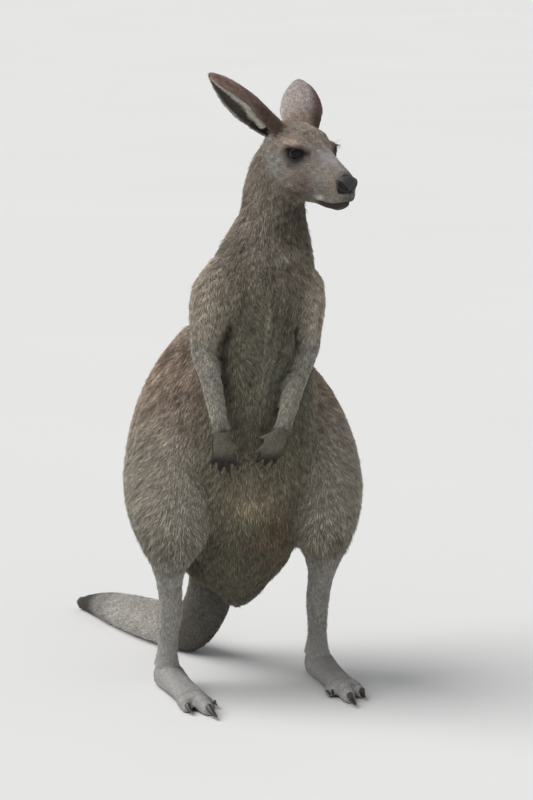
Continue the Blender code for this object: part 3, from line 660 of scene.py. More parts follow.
for word in EYE_AT:
    centre, way_across, way_up, way_out = eye_ways(word)
    away = points - centre
    across, above, height = away @ way_across, away @ way_up, away @ way_out
    apart = np.hypot(across, above)
    faces = (on_head > 0.4) & (normals @ way_out > 0.1) & (apart < LID_REACH) & (height > -0.004)
    share = lid_share(across, above)
    lid = ball_height(across, above) - LID_UNDER
    for lid_rise, start, end in LID_STEPS:
        lid += lid_rise * step(share, start, end)
    plain = face_height(across, above, height, faces & (apart > 0.02))
    wanted = lid + (plain - lid) * step(share, 1.12, 2.15)
    for fold_rise, at, reach, turn, start, end in LID_FOLDS.values():
        wanted += fold_rise * hump(share, at, reach) * step(turn * above, start, end)
    over_ball = np.sqrt(np.maximum(EYE_RADIUS**2 - apart**2, 0)) + 0.001
    wanted = np.where((share > 1.05) & (apart < EYE_RADIUS), np.maximum(wanted, over_ball), wanted)
    points += way_out * ((wanted - height) * faces * fade(apart, 0.0225, LID_REACH))[:, None]
    streak = bump_at(np.stack([across, above], 1), (0.019, 0.0008), (0.0075, 0.0036))
    tail = bump_at(np.stack([across, above], 1), (-0.0168, 0.001), (0.004, 0.0022))
    painted(faces * fade(share, 1.18, 1.46) * 0.97, LID_SKIN)
    painted(faces * np.maximum(streak * 0.95, tail * 0.7), EYE_STREAK)
    painted(faces * hump(share, 1.45, 0.35) * 0.6, LID_SHADE)
    growth *= 1 - faces * fade(share, 1.12, 1.34)
    length *= 1 - 0.5 * faces * fade(share, 1.3, 2.4)
    width *= 1 - 0.4 * faces * fade(share, 1.3, 2.8)
normals[:] = point_normals(points, triangles)

# The mouth runs back from under the nose in a shallow sag, and the lip is split below the nose. Both
# creases are painted near black, as painted shade.
MOUTH_SKIN, MOUTH_CREASE_SHADE = (0.03, 0.025, 0.02), (0.01, 0.008, 0.007)
mouth_line = -0.079 - 0.0042 * np.sin(np.pi * np.clip((0.0885 - fore) / 0.062, 0, 1))
below = up - mouth_line
on_mouth = on_head * step(fore, 0.0215, 0.031) * (normal_z < 0.5)
parting = on_mouth * hump(below, 0, 0.0013)
upper_lip = on_mouth * hump(below, 0.0055, 0.0045) * step(fore, 0.04, 0.07)
lower_lip = on_mouth * hump(below, -0.0042, 0.0028) * step(fore, 0.03, 0.05)
split = on_head * step(fore, 0.08, 0.086) * (up < -0.058) * (up > mouth_line - 0.001) * hump(side, 0, 0.0012)
whisker_pad = on_head * bump_at(np.abs(face), (0.07, 0.021, 0.06), (0.015, 0.012, 0.01))
pushed(0.0016 * upper_lip + 0.001 * lower_lip + 0.0012 * whisker_pad - 0.0024 * parting - 0.0018 * split)
painted(0.92 * on_mouth * step(-below, -0.0006, 0.0006) * fade(-below, 0.0048, 0.009), MOUTH_SKIN)
# Painted shade: the parting and the split are darkened nearly to black.
painted(np.maximum(parting * step(fore, 0.028, 0.04), split), MOUTH_CREASE_SHADE)

# Behind the nose pad the skin sinks inside it, and comes up level with it at its edge.
NOSE_AT = (0.0757, 0.0, -0.05)
NOSE_SIZE = (0.0208, 0.0214, 0.016)
fore, side, up = in_head_frame(points)
from_nose = np.stack([fore, side, up], 1) - NOSE_AT
nose_way = from_nose / NOSE_SIZE
under_pad = on_head * step(nose_way[:, 0], 0.22, 0.44) * step(nose_way[:, 2], -1.02, -0.84)
sunk = 1 + under_pad * (np.minimum(0.9 / np.linalg.norm(nose_way, axis=1), 1) - 1)
points += (from_nose * (sunk - 1)[:, None]) @ HEAD_WAYS
normals[:] = point_normals(points, triangles)
painted(step(under_pad, 0.05, 0.4), (0.02, 0.018, 0.017))
growth *= fade(under_pad, 0.02, 0.25)
growth *= 1 - on_mouth * fade(np.abs(below + 0.001), 0.0016, 0.003) * 0.95
growth *= 1 - split
length *= 1 - 0.45 * on_mouth * fade(np.abs(below), 0.003, 0.01)
length *= 1 + 0.9 * on_head * bump_at(np.abs(face), (0.04, 0.021, 0.0735), (0.008, 0.01, 0.006))

# The ears: short hair on the back, dark and almost bare inside with a sweep of pale hair along the leading
# edge, and a thin pale fringe on the trailing one. A place's share is how far up the ear it is, and its edge
# runs from -1 at the trailing edge by 0 at the middle of the back to 1 at the leading edge.
ear_share, ear_edge, ear_inside = np.zeros((3, len(points)))
for name in EARS:
    here = on(name)
    base, way_up, opening, across, spread = ear_ways(name)
    away = points[here] - base
    share = away @ way_up / EAR_LENGTH
    radius, trailing, leading = read_off(EAR_STATIONS, share)
    spoke = away - np.outer(away @ way_up, way_up) - opening * (radius * EAR_LEAN)[:, None]
    swing = np.degrees(np.arctan2(spoke @ across, -(spoke @ opening)))
    ear_share[here] = share
    ear_edge[here] = np.where(swing > 0, swing / leading, swing / trailing)
    ear_inside[here] = step(-(normals[here] * unit(spoke)).sum(1), -0.1, 0.3)
within, outside = on_ear * ear_inside, on_ear * (1 - ear_inside)
band = outside * step(ear_edge, 0.2, 0.6)
sweep = within * hump(ear_edge, 0.78, 0.26) * step(ear_share, 0.12, 0.26)
EAR_MARKS = {
    "warm_root": (outside * step(0.34 - ear_share, 0, 0.25) * 0.8, (0.3, 0.225, 0.18)),
    "brown_band": (band * 0.9, (0.185, 0.108, 0.084)),
    "dark_root": (band * step(0.45 - ear_share, 0, 0.3) * 0.6, (0.07, 0.052, 0.04)),
    "brown_edges": (outside * step(np.abs(ear_edge), 0.84, 0.99) * 0.6, (0.26, 0.165, 0.13)),
    "brown_tip": (outside * step(ear_share, 0.84, 0.96) * 0.6, (0.23, 0.145, 0.118)),
    "hollow": (within * 0.95, (0.085, 0.076, 0.06)),
    "hollow_root": (within * step(0.38 - ear_share, 0, 0.3) * 0.85, (0.03, 0.025, 0.018)),
    "pale_sweep": (sweep * 0.85, (0.4, 0.375, 0.32)),
    "pale_fringe": (on_ear * step(-ear_edge, 0.9, 0.97) * 0.9, (0.5, 0.465, 0.41)),
}
for where, colour in EAR_MARKS.values():
    painted(where, colour)
growth *= 1 - within * 0.8
length *= 1 - within * 0.35
root_bulge = on_head * bump_at(np.abs(face), (0.058, 0.04, 0.04), (0.018, 0.014, 0.016)) * (1 - on_ear)
pushed(0.002 * root_bulge)

# Her arms stand clear of the trunk, and the hair behind them is sunk and painted darker: partly olive dirt,
# partly painted shade. Inside the thighs it is sunk too, and painted darker as painted shade.
on_trunk, on_thigh = on("neck", "chest", "belly", "hips"), on("thigh")
ARMPIT = (0.63, 0.668)


def how_far(others):
    """The distance from each point of the trunk to the nearest of the others, and a metre off the trunk."""
    far = np.ones(len(points))
    far[on_trunk] = np.sqrt(np.maximum(gaps(points[on_trunk], others), 0))
    return far


facing = step(-normal_y, 0.1, 0.7) * on_trunk
from_arm = how_far(points[on("upper_arm", "forearm")][::9])
from_thigh = how_far(points[on_thigh][::14])
beside_arm = fade(from_arm, 0.006, 0.03) * fade(z, *ARMPIT)
inside_thigh = fade(from_thigh, 0.003, 0.022) * step(-normal_y, -0.1, 0.5) * step(0.5 - z, 0.0, 0.12)
sunk = 0.011 * fade(from_arm, 0.004, 0.026) * fade(z, *ARMPIT) + 0.0035 * inside_thigh
pushed(-averaged(sunk, edges, 3))
# Painted shade, with some olive dirt, beside the arms; painted shade inside the thighs.
painted(beside_arm * 0.92, (0.03, 0.026, 0.017))
painted(inside_thigh * 0.65, (0.055, 0.05, 0.032))
length *= 1 - 0.35 * beside_arm

# Hair from the neck hangs over the fold at its base, and its tips there are pale; the fold's crease is
# painted darker as painted shade. Her breast and shoulders are browner above, and her throat is painted
# darker under the jaw, which is painted shade.
FOLD_MIDDLE, FOLD_UP, FOLD_SAG = 0.036, 0.738, 0.024
fold_x = x - FOLD_MIDDLE
fold_off = z - (FOLD_UP + FOLD_SAG * (fold_x / 0.06) ** 2) + 0.0035 * ripple(points, 0.045, 26)
fold_side = hump(fold_x, 0, 0.04, 4) * facing
painted(on_trunk * step(z, 0.64, 0.735) * fade(z, 0.76, 0.8) * 0.75, (0.225, 0.192, 0.15))
painted(on("upper_arm") * step(z, 0.65, 0.735) * 0.6, (0.335, 0.288, 0.232))
painted(on_trunk * fade(from_arm, 0.004, 0.03) * step(z, 0.655, 0.7) * 0.6, (0.29, 0.246, 0.196))
fold = fold_side * hump(fold_off, 0, 0.0055)
over = fold_side * hump(fold_off, 0.016, 0.012)
pushed(0.0032 * over - 0.0036 * fold)
# Painted shade in the fold's crease.
painted(fold * 0.45, (0.085, 0.073, 0.052))
painted(over * 0.6, (0.38, 0.34, 0.28))
length *= 1 + 0.25 * over
rise += 0.1 * over
# Painted shade: the neck's front is darkened under the jaw.
throat_shade = on("neck") * step(-normal_y, -0.1, 0.6) * step(normal_x, -0.35, 0.35) * step(z, 0.74, 0.8)
painted(averaged(throat_shade, edges, 8, 0.6) * 0.85, (0.082, 0.072, 0.048))

# The belly's ridge: the hair of both sides runs in to it and stands up pale.
RIDGE_UP, RIDGE_ACROSS = (0.545, 0.69), (0.006, 0.023)
ridge_off = x - np.interp(z, RIDGE_UP, RIDGE_ACROSS)
ridge_along = step(z, 0.5, 0.58) * fade(z, 0.675, 0.705)
ridge = facing * ridge_along * hump(ridge_off, 0, 0.006)
gather = facing * ridge_along * hump(ridge_off, 0, 0.05)
pushed(0.0012 * ridge)
painted(ridge * 0.48, (0.35, 0.325, 0.265))
lie[:, 0] -= gather * np.tanh(ridge_off / 0.008) * 0.75

# The pouch: its lip is a shallow crescent whose crease is painted dark as painted shade, with a pale patch
# over it, and it sags below, with a rusty stain.
POUCH_AT = (-0.012, 0.356)
pouch_x = x - POUCH_AT[0]
pouch_off = z - (POUCH_AT[1] + 0.012 * (pouch_x / 0.04) ** 2)
pouch_wide = facing * hump(pouch_x, 0, 0.026, 4)
pushed(pouch_wide * (0.003 * hump(pouch_off, 0.009, 0.007) - 0.004 * hump(pouch_off, 0, 0.004)))
# Painted shade along the crease of the pouch's lip.
painted(pouch_wide * hump(pouch_off, 0, 0.0045) * 0.7, (0.06, 0.052, 0.032))
# Patches on her front: across and up, the reach of each, its strength and its colour.
POUCH_PATCHES = {
    "over_lip": ((-0.012, 0.352), (0.055, 0.04), 0.55, (0.33, 0.285, 0.2)),
    "lip": ((-0.012, 0.341), (0.034, 0.021), 0.7, (0.42, 0.362, 0.235)),
    "rusty_stain": ((0.03, 0.29), (0.034, 0.045), 0.65, (0.165, 0.108, 0.064)),
}
BELLY_PATCHES = {
    "mid_belly": ((0.01, 0.56), (0.045, 0.075), 0.45, (0.235, 0.226, 0.172)),
    "low_belly": ((-0.01, 0.395), (0.085, 0.045), 0.6, (0.245, 0.202, 0.142)),
}


def paint_front(patches):
    """Paints each patch on the hair that faces forward, as a bump across and up."""
    for place, reach, strength, colour in patches.values():
        painted(facing * bump_at(points[:, (0, 2)], place, reach) * strength, colour)


paint_front(POUCH_PATCHES)
painted(facing * step(0.3 - z, 0, 0.08) * 0.35, (0.12, 0.118, 0.08))

# The back and the tops of the haunches are browner and dappled, and the knees' hair is longer and darker:
# brown hair, and partly painted shade under the thigh.
behind = step(normal_y, 0.0, 0.8) * (on_trunk | on_thigh)
painted(behind * 0.75, (0.285, 0.225, 0.176))
haunch = (on_trunk | on_thigh) * step(np.abs(x - 0.02), 0.085, 0.115)
haunch = averaged(haunch * (step(z, 0.4, 0.54) * fade(z, 0.62, 0.76)), edges, 40, 0.7)
painted(haunch * 0.9, (0.395, 0.302, 0.236))
dapple = step(ripple(points, 0.012, 24) + 0.6 * ripple(points, 0.03, 25), -0.2, 0.7)
painted(np.maximum(haunch, 0.6 * behind) * dapple * 0.75, (0.13, 0.086, 0.062))
paint_front(BELLY_PATCHES)
knee = averaged(on("thigh", "shin") * hump(z, 0.262, 0.034), edges, 14, 0.6)
# Partly brown hair, partly painted shade under the thigh.
painted(knee * 0.75, (0.195, 0.172, 0.134))
length *= 1 + 0.55 * knee
rise += 0.06 * knee

# Her shanks are mottled brown, and their hair gets paler, shorter and finer over the heels.
on_shin, on_foot = on("shin"), on("foot")
spots = step(ripple(points, 0.016, 21), 0.35, 1.0)
painted(on_shin * spots * 0.45 * step(z, 0.08, 0.2), (0.185, 0.155, 0.12))
heel = (on_shin | on_foot) * fade(z, 0.05, 0.13)
painted(heel * 0.75, (0.455, 0.44, 0.425))
length *= 1 - 0.5 * heel * on_shin
width *= 1 - 0.2 * heel * on_shin

# Her tail is flecked, brown at its root and darker along its top, with a dark tip.
on_tail = on("tail_root", "tail_mid", "tail_end", "tail_tip")
painted(on_tail * step(ripple(points, 0.01, 22), 0.2, 1.0) * 0.35, (0.15, 0.135, 0.115))
painted(on_tail * step(normal_z, -0.2, 0.8) * 0.3, (0.19, 0.17, 0.15))
tail_pale, tail_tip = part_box("tail_end")[0].y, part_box("tail_tip")[1].y
tail_back = on_tail * step(normal_y * 0.8 + normal_z * 0.6, -0.3, 0.5)
tail_back *= fade(y, tail_pale - 0.02, tail_pale + 0.095)
painted(averaged(tail_back, edges, 16, 0.6) * 0.9, (0.262, 0.216, 0.174))
painted(on_tail * step(y, tail_tip - 0.115, tail_tip - 0.06) * 0.92, (0.05, 0.045, 0.04))

# Her feet's creases: across the ankle's front, between the toes and across each toe's joints. Each is a
# place ahead of the heel, and how deep it is drawn. They are sunk and painted darker, as painted shade.
FOOT_LENGTH = 0.24
FOOT_CREASES = ((0.016, 0.4), (0.034, 0.6), (0.15, 0.8), (0.176, 0.7), (0.2, 0.7))
for side_name in SIDES:
    toe = middle(f"claw_hind_fourth_{side_name}")
    way = unit((toe - middle(f"shin_{side_name}")) * (1, 1, 0))
    ahead = (points - (toe - way * FOOT_LENGTH)) @ way + 0.0022 * ripple(points, 0.03, 31)
    crease = np.max([deep * hump(ahead, at, 0.0022) for at, deep in FOOT_CREASES], axis=0)
    crease *= on(f"foot_{side_name}") * step(normal_z, -0.1, 0.5)
    pushed(-0.0011 * crease)
    # Painted shade in the creases.
    painted(crease * 0.55, (0.13, 0.115, 0.105))
painted(on_foot * step(-normal_z, 0.4, 0.9), (0.06, 0.052, 0.048))
growth *= 1 - on_foot * step(-normal_z, 0.5, 0.9)

# Her wrists and the backs of her hands are grey, and the palms nearly bare.
on_hand = on("hand")
painted(on("forearm") * fade(z, 0.47, 0.5) * 0.7, (0.18, 0.168, 0.14))
painted(on_hand * step(-normal_y, 0.0, 0.6) * step(z, 0.42, 0.444) * 0.85, (0.2, 0.186, 0.146))
growth *= 1 - 0.8 * (on_hand * step(normal_y * 0.8 - normal_z * 0.3, 0.5, 0.9))
lie = flattened(averaged(flattened(lie, normals), edges, 10), normals)


def toned(add, attribute, value, low, high, **span):
    """The colour held in an attribute, times a tone from low to high as the value runs over its span."""
    colour = add("Attribute", attribute_name=attribute)
    tone = add("MapRange", Value=value, To_Min=low, To_Max=high, **span)
    return add("VectorMath", operation="SCALE", Vector=colour, Scale=tone)


def skin_finish():
    """Short dense underfur seen close: the markings held in the mesh, mottled and raised by fine streaks."""
    made, add, shade = material("underfur")
    where = add("Mapping", Vector=add("TexCoord", "Object"), Scale=(1, 1, 0.35))
    hairs = add("TexNoise", Vector=where, Scale=700.0, Detail=3.0)
    shade(Base_Color=toned(add, "markings", hairs, 0.5, 1.0, From_Min=0.3, From_Max=0.7), Roughness=0.85)
    shade(Normal=add("Bump", Height=hairs, Strength=0.5, Distance=0.001))
    return made


skin_mesh.vertices.foreach_set("co", points.astype(np.float32).ravel())
skin_mesh.polygons.foreach_set("use_smooth", np.ones(len(skin_mesh.polygons), bool))
colour_attribute(skin_mesh, "markings", tint)
skin_mesh.materials.clear()
skin_mesh.name = "skin"
placed(skin_mesh, skin_finish(), "coat", *FLESH)

# ---------------------------------------------------------------- eyes
# Each eye is a glass ball set behind the lids, with a raised cornea over a dark brown iris, as a
# taxidermist's eye is. A moist dark rim runs round the lids, and stiff black lashes stand out from the upper.

EYE_GLASS = 0.0149
CORNEA_RISE, CORNEA_EDGE = 0.0009, (0.35, 0.77)
PUPIL_END, IRIS_END = 0.36, 0.66
PUPIL, IRIS, EYE_WHITE = np.array(((0.0015, 0.0015, 0.0018), (0.014, 0.008, 0.006), (0.01, 0.007, 0.006)))
LASHES = 46


def around(count):
    """That many even turns round a circle, from 0."""
    return np.linspace(0, 2 * math.pi, count, endpoint=False)


def dome(ways, rings, sides):
    """Directions over a whole ball: rings of them at even angles from the pole, in rings by sides.

    Each is out cos a + (across cos b + up sin b) sin a. The angles come back with them.
    """
    across, above, out = ways
    angle, turn = np.meshgrid(np.linspace(0, math.pi, rings + 2)[1:-1], around(sides), indexing="ij")
    round_it = across * np.cos(turn)[..., None] + above * np.sin(turn)[..., None]
    return out * np.cos(angle)[..., None] + round_it * np.sin(angle)[..., None], angle, turn


def with_ends(grid):
    """The values over a capped grid as one list, followed by those of its two ends."""
    return np.vstack([grid.reshape(-1, grid.shape[-1]), grid[0, :1], grid[-1, -1:]])


def tinted(name, surface, colours):
    """A mesh of some points and triangles, which holds its tint at each point."""
    mesh = mesh_of(name, *surface)
    colour_attribute(mesh, "tint", colours)
    return mesh


def eye_finish():
    """Wet glass over a painted iris: the colour held in the mesh, a clear coat, and almost no roughness."""
    made, add, shade = material("eye_glass")
    shade(Base_Color=add("Attribute", attribute_name="tint"), Roughness=0.1, IOR=1.15)
    shade(Coat_Weight=0.25, Coat_Roughness=0.02)
    return made


def build_eyeball(word, finish):
    """A ball with a cornea: it bulges by the cornea's rise near the pole that looks out."""
    centre, *ways = eye_ways(word)
    way, angle, turn = dome(ways, 62, 64)
    radius = (EYE_GLASS - CORNEA_RISE * step(angle, *CORNEA_EDGE))[..., None]
    points, triangles = capped(centre + way * radius)
    points[-2:] = centre + np.array([ways[2] * radius[0, 0], -ways[2] * radius[-1, 0]])
    streak = 0.5 + 0.5 * np.sin(turn * 23 + 2.0 * np.sin(turn * 5))
    iris = IRIS * (0.6 + 0.8 * streak * step(angle, PUPIL_END, IRIS_END))[..., None]
    rim = step(angle, IRIS_END - 0.05, IRIS_END + 0.02)[..., None]
    colour = np.where(angle[..., None] < PUPIL_END, PUPIL, iris) * (1 - rim) + EYE_WHITE * rim
    ball = tinted(f"eyeball_{word}", (points, triangles), with_ends(colour))
    placed(ball, finish, "eye_surface", f"eye_{word}")


def on_opening(word, turn, share, lift):
    """How far across the eye and where the opening's superellipse is, at that share and lift off the ball."""
    cos, sin = np.cos(turn), np.sin(turn)
    power = corner_power(cos * OPEN_HALF, sin)
    across = np.sign(cos) * np.abs(cos) ** (2 / power) * OPEN_HALF * share
    above = np.sign(sin) * np.abs(sin) ** (2 / power) * np.where(sin > 0, OPEN_ABOVE, OPEN_BELOW) * share
    centre, *ways = eye_ways(word)
    return across, centre + np.stack([across, above, ball_height(across, above) + lift], 1) @ np.stack(ways)


def tubes(paths, radii, sides, closed=False):
    """Closed tubes along paths: points of shape paths by stations by 3, with a radius for each station.

    Each ring lies across the path's own direction: side cos b + lift sin b, times the radius. An open tube
    narrows to a point at both ends, and a closed one joins up with itself.
    """
    ahead = unit(np.roll(paths, -1, 1) - np.roll(paths, 1, 1) if closed else np.gradient(paths, axis=1))
    side = unit(np.cross(ahead, (0.13, 0.21, 0.97)))
    lift = np.cross(side, ahead)
    turn = around(sides)[:, None]
    rings = side[:, :, None] * np.cos(turn) + lift[:, :, None] * np.sin(turn)
    rings = paths[:, :, None] + rings * np.broadcast_to(radii, paths.shape[:2])[:, :, None, None]
    return walled(rings, None if closed else paths[:, (0, -1)])


def bare_skin_finish(name, scale, roughness):
    """Bare black hide: fine pebbles that raise it and darken between them, under a slight moisture.

    The darkest tint, the painted shade in the nostrils' depth, has the least gloss.
    """
    made, add, shade = material(name)
    pebbles = add("TexVoronoi", Vector=add("TexCoord", "Object"), Scale=scale, feature="SMOOTH_F1")
    wet = add("MapRange", Value=pebbles, To_Min=roughness, To_Max=roughness + 0.25)
    tint = add("Attribute", attribute_name="tint")
    gloss = add("MapRange", Value=tint, From_Max=0.014, To_Min=0.02, To_Max=0.5)
    shade(Base_Color=toned(add, "tint", pebbles, 1.25, 0.55, From_Max=0.7), Roughness=wet)
    shade(Specular_IOR_Level=gloss)
    shade(Normal=add("Bump", Height=pebbles, Strength=0.45, Distance=0.0006, invert=True))
    return made


def build_lid_rim(word, finish):
    """The moist edge of the lids: a thin ring along the opening, just proud of the ball."""
    turn = around(96)
    path = on_opening(word, turn, 1.02, 0.0006)[1]
    ring = tubes(path[None], 0.00105 + 0.0002 * np.sin(turn * 3), 10, closed=True)
    placed(tinted(f"lid_rim_{word}", ring, (0.01, 0.008, 0.007)), finish, "nose_leather")


def build_lashes(word, finish, rng):
    """Lashes: each starts on the upper lid, leans out and back, and curls down a little along its length."""
    turn = np.linspace(0.1, 0.94, LASHES) * math.pi + rng.normal(0, 0.02, LASHES)
    outward_by, root = on_opening(word, turn, 1.1, 0.001)
    across, above, out = eye_ways(word)[1:]
    fan = np.outer(outward_by / OPEN_HALF * 0.55, across) + 0.35 * above + out * 0.85
    fan = unit(fan + rng.normal(0, 0.1, (LASHES, 3)))
    long = (0.0075 + 0.0035 * np.sin(turn)) * rng.uniform(0.75, 1.15, LASHES)
    t = np.linspace(0, 1, 6)[:, None]
    path = root[:, None] + (fan[:, None] * t - above * (0.55 * t**2)) * long[:, None, None]
    hairs = tubes(path, 0.00022 * (1 - t[:, 0] * 0.92), 4)
    placed(tinted(f"lashes_{word}", hairs, (0.012, 0.01, 0.009)), finish, "coat")


eye_glass = eye_finish()
lid_skin = bare_skin_finish("lid_skin", 1500.0, 0.4)
for number, word in enumerate(EYE_AT):
    build_eyeball(word, eye_glass)
    build_lid_rim(word, lid_skin)
    build_lashes(word, lid_skin, np.random.default_rng(60 + number))

# ---------------------------------------------------------------- nose
# The nose is a pad of bare black leather over the muzzle's end. Its nostrils are commas that open to the
# sides, each under a soft rolled wing, and a furrow runs down its middle to the split of the lip.

# A nostril's stations along its curve: ahead of the pad's middle, out, above, and half its width there.
NOSTRIL = np.array((
    (0.0068, 0.0205, 0.0066, 0.0014), (0.0115, 0.018, 0.003, 0.0028),
    (0.0145, 0.015, -0.003, 0.0038), (0.016, 0.0105, -0.0068, 0.0027),
))
NOSTRIL_DEEP = 0.0068
NOSE_MEAN_RADIUS = 0.017
NOSE_BLACK = (0.026, 0.024, 0.024)
FULLNESS = 2.5


def nose_distance(way, side):
    """How far each place on the pad is from the nostril's curve, less the curve's own half width there."""
    stations = spline(NOSTRIL, 25)
    targets = unit(stations[:, :3] * (1, side, 1) / NOSE_SIZE)
    apart = [np.linalg.norm(way - target, axis=-1) for target in targets]
    return np.min([NOSE_MEAN_RADIUS * far - half for far, half in zip(apart, stations[:, 3])], axis=0)


def build_nose(finish):
    """The pad: a superellipsoid about the nose's middle, with each feature added along its outward way."""
    way, angle, _ = dome(np.eye(3)[[1, 2, 0]], 110, 132)
    place = way * (np.abs(way) ** FULLNESS).sum(-1, keepdims=True) ** (-1 / FULLNESS) * NOSE_SIZE
    place[..., 1] *= 1 - 0.3 * step(-place[..., 2], 0.001, 0.0135)
    place[..., 0] -= 0.0035 * step(-place[..., 2], 0.004, 0.014)
    rise, dark = np.zeros((2, *angle.shape))
    for side in (1, -1):
        gap = nose_distance(way, side)
        rise += 0.0011 * hump(gap, 0.002, 0.0014) - NOSTRIL_DEEP * fade(gap, -0.0016, 0.0005)
        dark = np.maximum(dark, fade(gap, -0.001, 0.0008))
    furrow = hump(place[..., 1], 0, 0.001) * step(-place[..., 2], -0.002, 0.004) * (way[..., 0] > 0)
    rise -= 0.0016 * furrow
    rise += 0.00012 * ripple(place.reshape(-1, 3), 0.0022, 41).reshape(rise.shape)
    place = place + way * rise[..., None]
    surface = capped(EYE_LINE + (place + NOSE_AT) @ HEAD_WAYS)
    colour = NOSE_BLACK * (1 + 1.1 * step(place[..., 2], -0.002, 0.01))[..., None]
    # Painted shade: the nostrils' depths and the furrow are darkened nearly to black.
    colour = colour * (1 - 0.985 * np.maximum(dark, 0.5 * furrow)[..., None])
    placed(tinted("nose_pad", surface, with_ends(colour)), finish, "nose_leather", "nose")


build_nose(bare_skin_finish("nose_leather", 1100.0, 0.34))

# ------------------------------------------------------------ whiskers
# Stiff dark whiskers stand in four rows on each side of the muzzle, longer towards the back, and a few
# longer hairs stand over each eye and on the cheek.

WHISKER_ROWS = (-0.046, -0.053, -0.06, -0.067)
WHISKERS_IN_ROW = 6
LONG_HAIRS = ((-0.002, 0.02), (0.004, 0.022), (-0.008, 0.021), (-0.02, -0.04), (-0.024, -0.044))


def build_whiskers(finish, rng):
    """Each whisker leaves the skin outward and back, and droops by the square of how far along it is."""
    roots, ways, lengths = [], [], []
    for turn in (1, -1):
        for row, above in enumerate(WHISKER_ROWS):
            for place in range(WHISKERS_IN_ROW):
                ahead = 0.079 - 0.0062 * place - 0.0015 * row
                roots.append((ahead, turn * 0.03, above + rng.normal(0, 0.0008)))
                ways.append((-0.35 - 0.06 * place, turn * 0.9, 0.1 - 0.14 * row))
                lengths.append(0.014 + 0.0032 * place)
        for ahead, above in LONG_HAIRS:
            roots.append((ahead, turn * 0.056, above))
            ways.append((-0.15, turn * 0.85, 0.5 if above > 0 else -0.2))
            lengths.append(0.024)
    near = [np.argmin(((points - target) ** 2).sum(1)) for target in EYE_LINE + np.array(roots) @ HEAD_WAYS]
    root = points[near] - normals[near] * 0.001
    way = unit(np.array(ways) @ HEAD_WAYS + rng.normal(0, 0.06, (len(near), 3)))
    long = np.array(lengths) * rng.uniform(0.85, 1.15, len(near))
    t = np.linspace(0, 1, 7)[:, None]
    path = root[:, None] + (way[:, None] * t - UP * (0.22 * t**2)) * long[:, None, None]
    hairs = tubes(path, 0.00019 * (1 - 0.9 * t[:, 0]), 4)
    placed(tinted("whiskers", hairs, (0.03, 0.026, 0.022)), finish, "coat")


build_whiskers(lid_skin, np.random.default_rng(70))

# --------------------------------------------------------------- claws
# Each claw is a curved horn, dark and worn paler towards its root, with fine lengthwise lines and a rounded
# back. It grows out of the hair of its finger or toe.

CLAW_RINGS, CLAW_SIDES = 22, 16
CLAW_ROOT, CLAW_TIP = np.array(((0.075, 0.062, 0.05), (0.018, 0.015, 0.013)))


def claw_finish():
    """Horn: dark, streaked along the claw by noise stretched on its own map, with a satin gloss."""
    made, add, shade = material("claw_horn")
    along = add("Mapping", Vector=add("UVMap", uv_map="along"), Scale=(26, 2.5, 1))
    lines = add("TexNoise", Vector=along, Scale=1.0, Detail=4.0)
    shade(Base_Color=toned(add, "tint", lines, 0.6, 1.5, From_Min=0.3, From_Max=0.7), Roughness=0.38)
    shade(Normal=add("Bump", Height=lines, Strength=0.25, Distance=0.0004))
    return made


def flat_map(mesh, name, corners):
    """Gives a mesh a UV map, from a place for each corner of its triangles."""
    mesh.uv_layers.new(name=name).uv.foreach_set("vector", corners.astype(np.float32).ravel())


def build_claw(name, finish):
    """A claw fitted to its solid, whose middle line is a quadratic through the solid's points.

    Its half width and half height are the solid's at its root, times the square root of 1 - t^1.7 and a
    straight taper, where t is the share of its length. A ridge runs along its back and a hollow under it.
    """
    solid = cad_points[name][0]
    centre = solid.mean(0)
    axis = np.linalg.svd(solid - centre)[2][0]
    paw = middle(("foot_" if "hind" in name else "hand_") + name.rsplit("_", 1)[-1])
    axis = axis * (-1 if axis @ (centre - paw) < 0 else 1)
    share = (solid - centre) @ axis
    share = (share - share.min()) / np.ptp(share)
    side = unit(np.cross(axis, UP) if abs(axis @ UP) < 0.95 else np.cross(axis, FORE))
    lift = np.cross(side, axis)
    root = solid[share < 0.45]
    wide, tall = np.ptp(root @ side) / 2, np.ptp(root @ lift) / 2
    t = np.linspace(0, 1, CLAW_RINGS)
    line = np.polynomial.polynomial.polyval(t, np.polynomial.polynomial.polyfit(share, solid, 2)).T
    taper = np.sqrt(np.clip(1 - t**1.7, 0, 1)) * (1 - 0.35 * t) + 0.04
    turn = around(CLAW_SIDES)
    ridge = 1 + 0.1 * hump(turn, math.pi / 2, 0.5) - 0.16 * hump(turn, 3 * math.pi / 2, 0.6)
    ring = side * (wide * np.cos(turn) * ridge)[:, None] + lift * (tall * np.sin(turn) * ridge)[:, None]
    grid = line[:, None] + ring * taper[:, None, None]
    grid[..., 2] = np.maximum(grid[..., 2], 0.0002)
    points, triangles = capped(grid)
    pale = np.clip(1 - t * 1.8, 0, 1)[:, None, None] * np.ones((1, CLAW_SIDES, 1))
    mesh = tinted(f"{name}_horn", (points, triangles), with_ends(CLAW_TIP * (1 - pale) + CLAW_ROOT * pale))
    place = with_ends(np.stack(np.meshgrid(t, np.arange(CLAW_SIDES) / CLAW_SIDES, indexing="ij"), -1))
    flat_map(mesh, "along", place[triangles.ravel(), ::-1])
    placed(mesh, finish, "claw_horn", name)


horn = claw_finish()
for name in sorted(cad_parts):
    if name.startswith("claw_"):
        build_claw(name, horn)

# ---------------------------------------------------------------- coat
# Her fur is thousands of thin pointed locks that lie along the body. Each is a closed leaf of six triangles:
# a buried root, a three-cornered middle, and a tip that bends back down towards the skin.

FIRST_SEED = 7
HEART_ALONG, HEART_UP, HEART_THICK = 0.4, 0.52, 0.42
ROOT_DEEP = 0.0006
LIT_AS_SKIN = 0.35
LEAF = np.array(((0, 2, 1), (0, 3, 2), (0, 1, 3), (4, 1, 2), (4, 2, 3), (4, 3, 1)))
PATCH = 0.0015
LEAF_PATCH = np.array(((0, -PATCH), (-PATCH, 0), (PATCH, 0), (0, 0.3 * PATCH), (0, PATCH)))
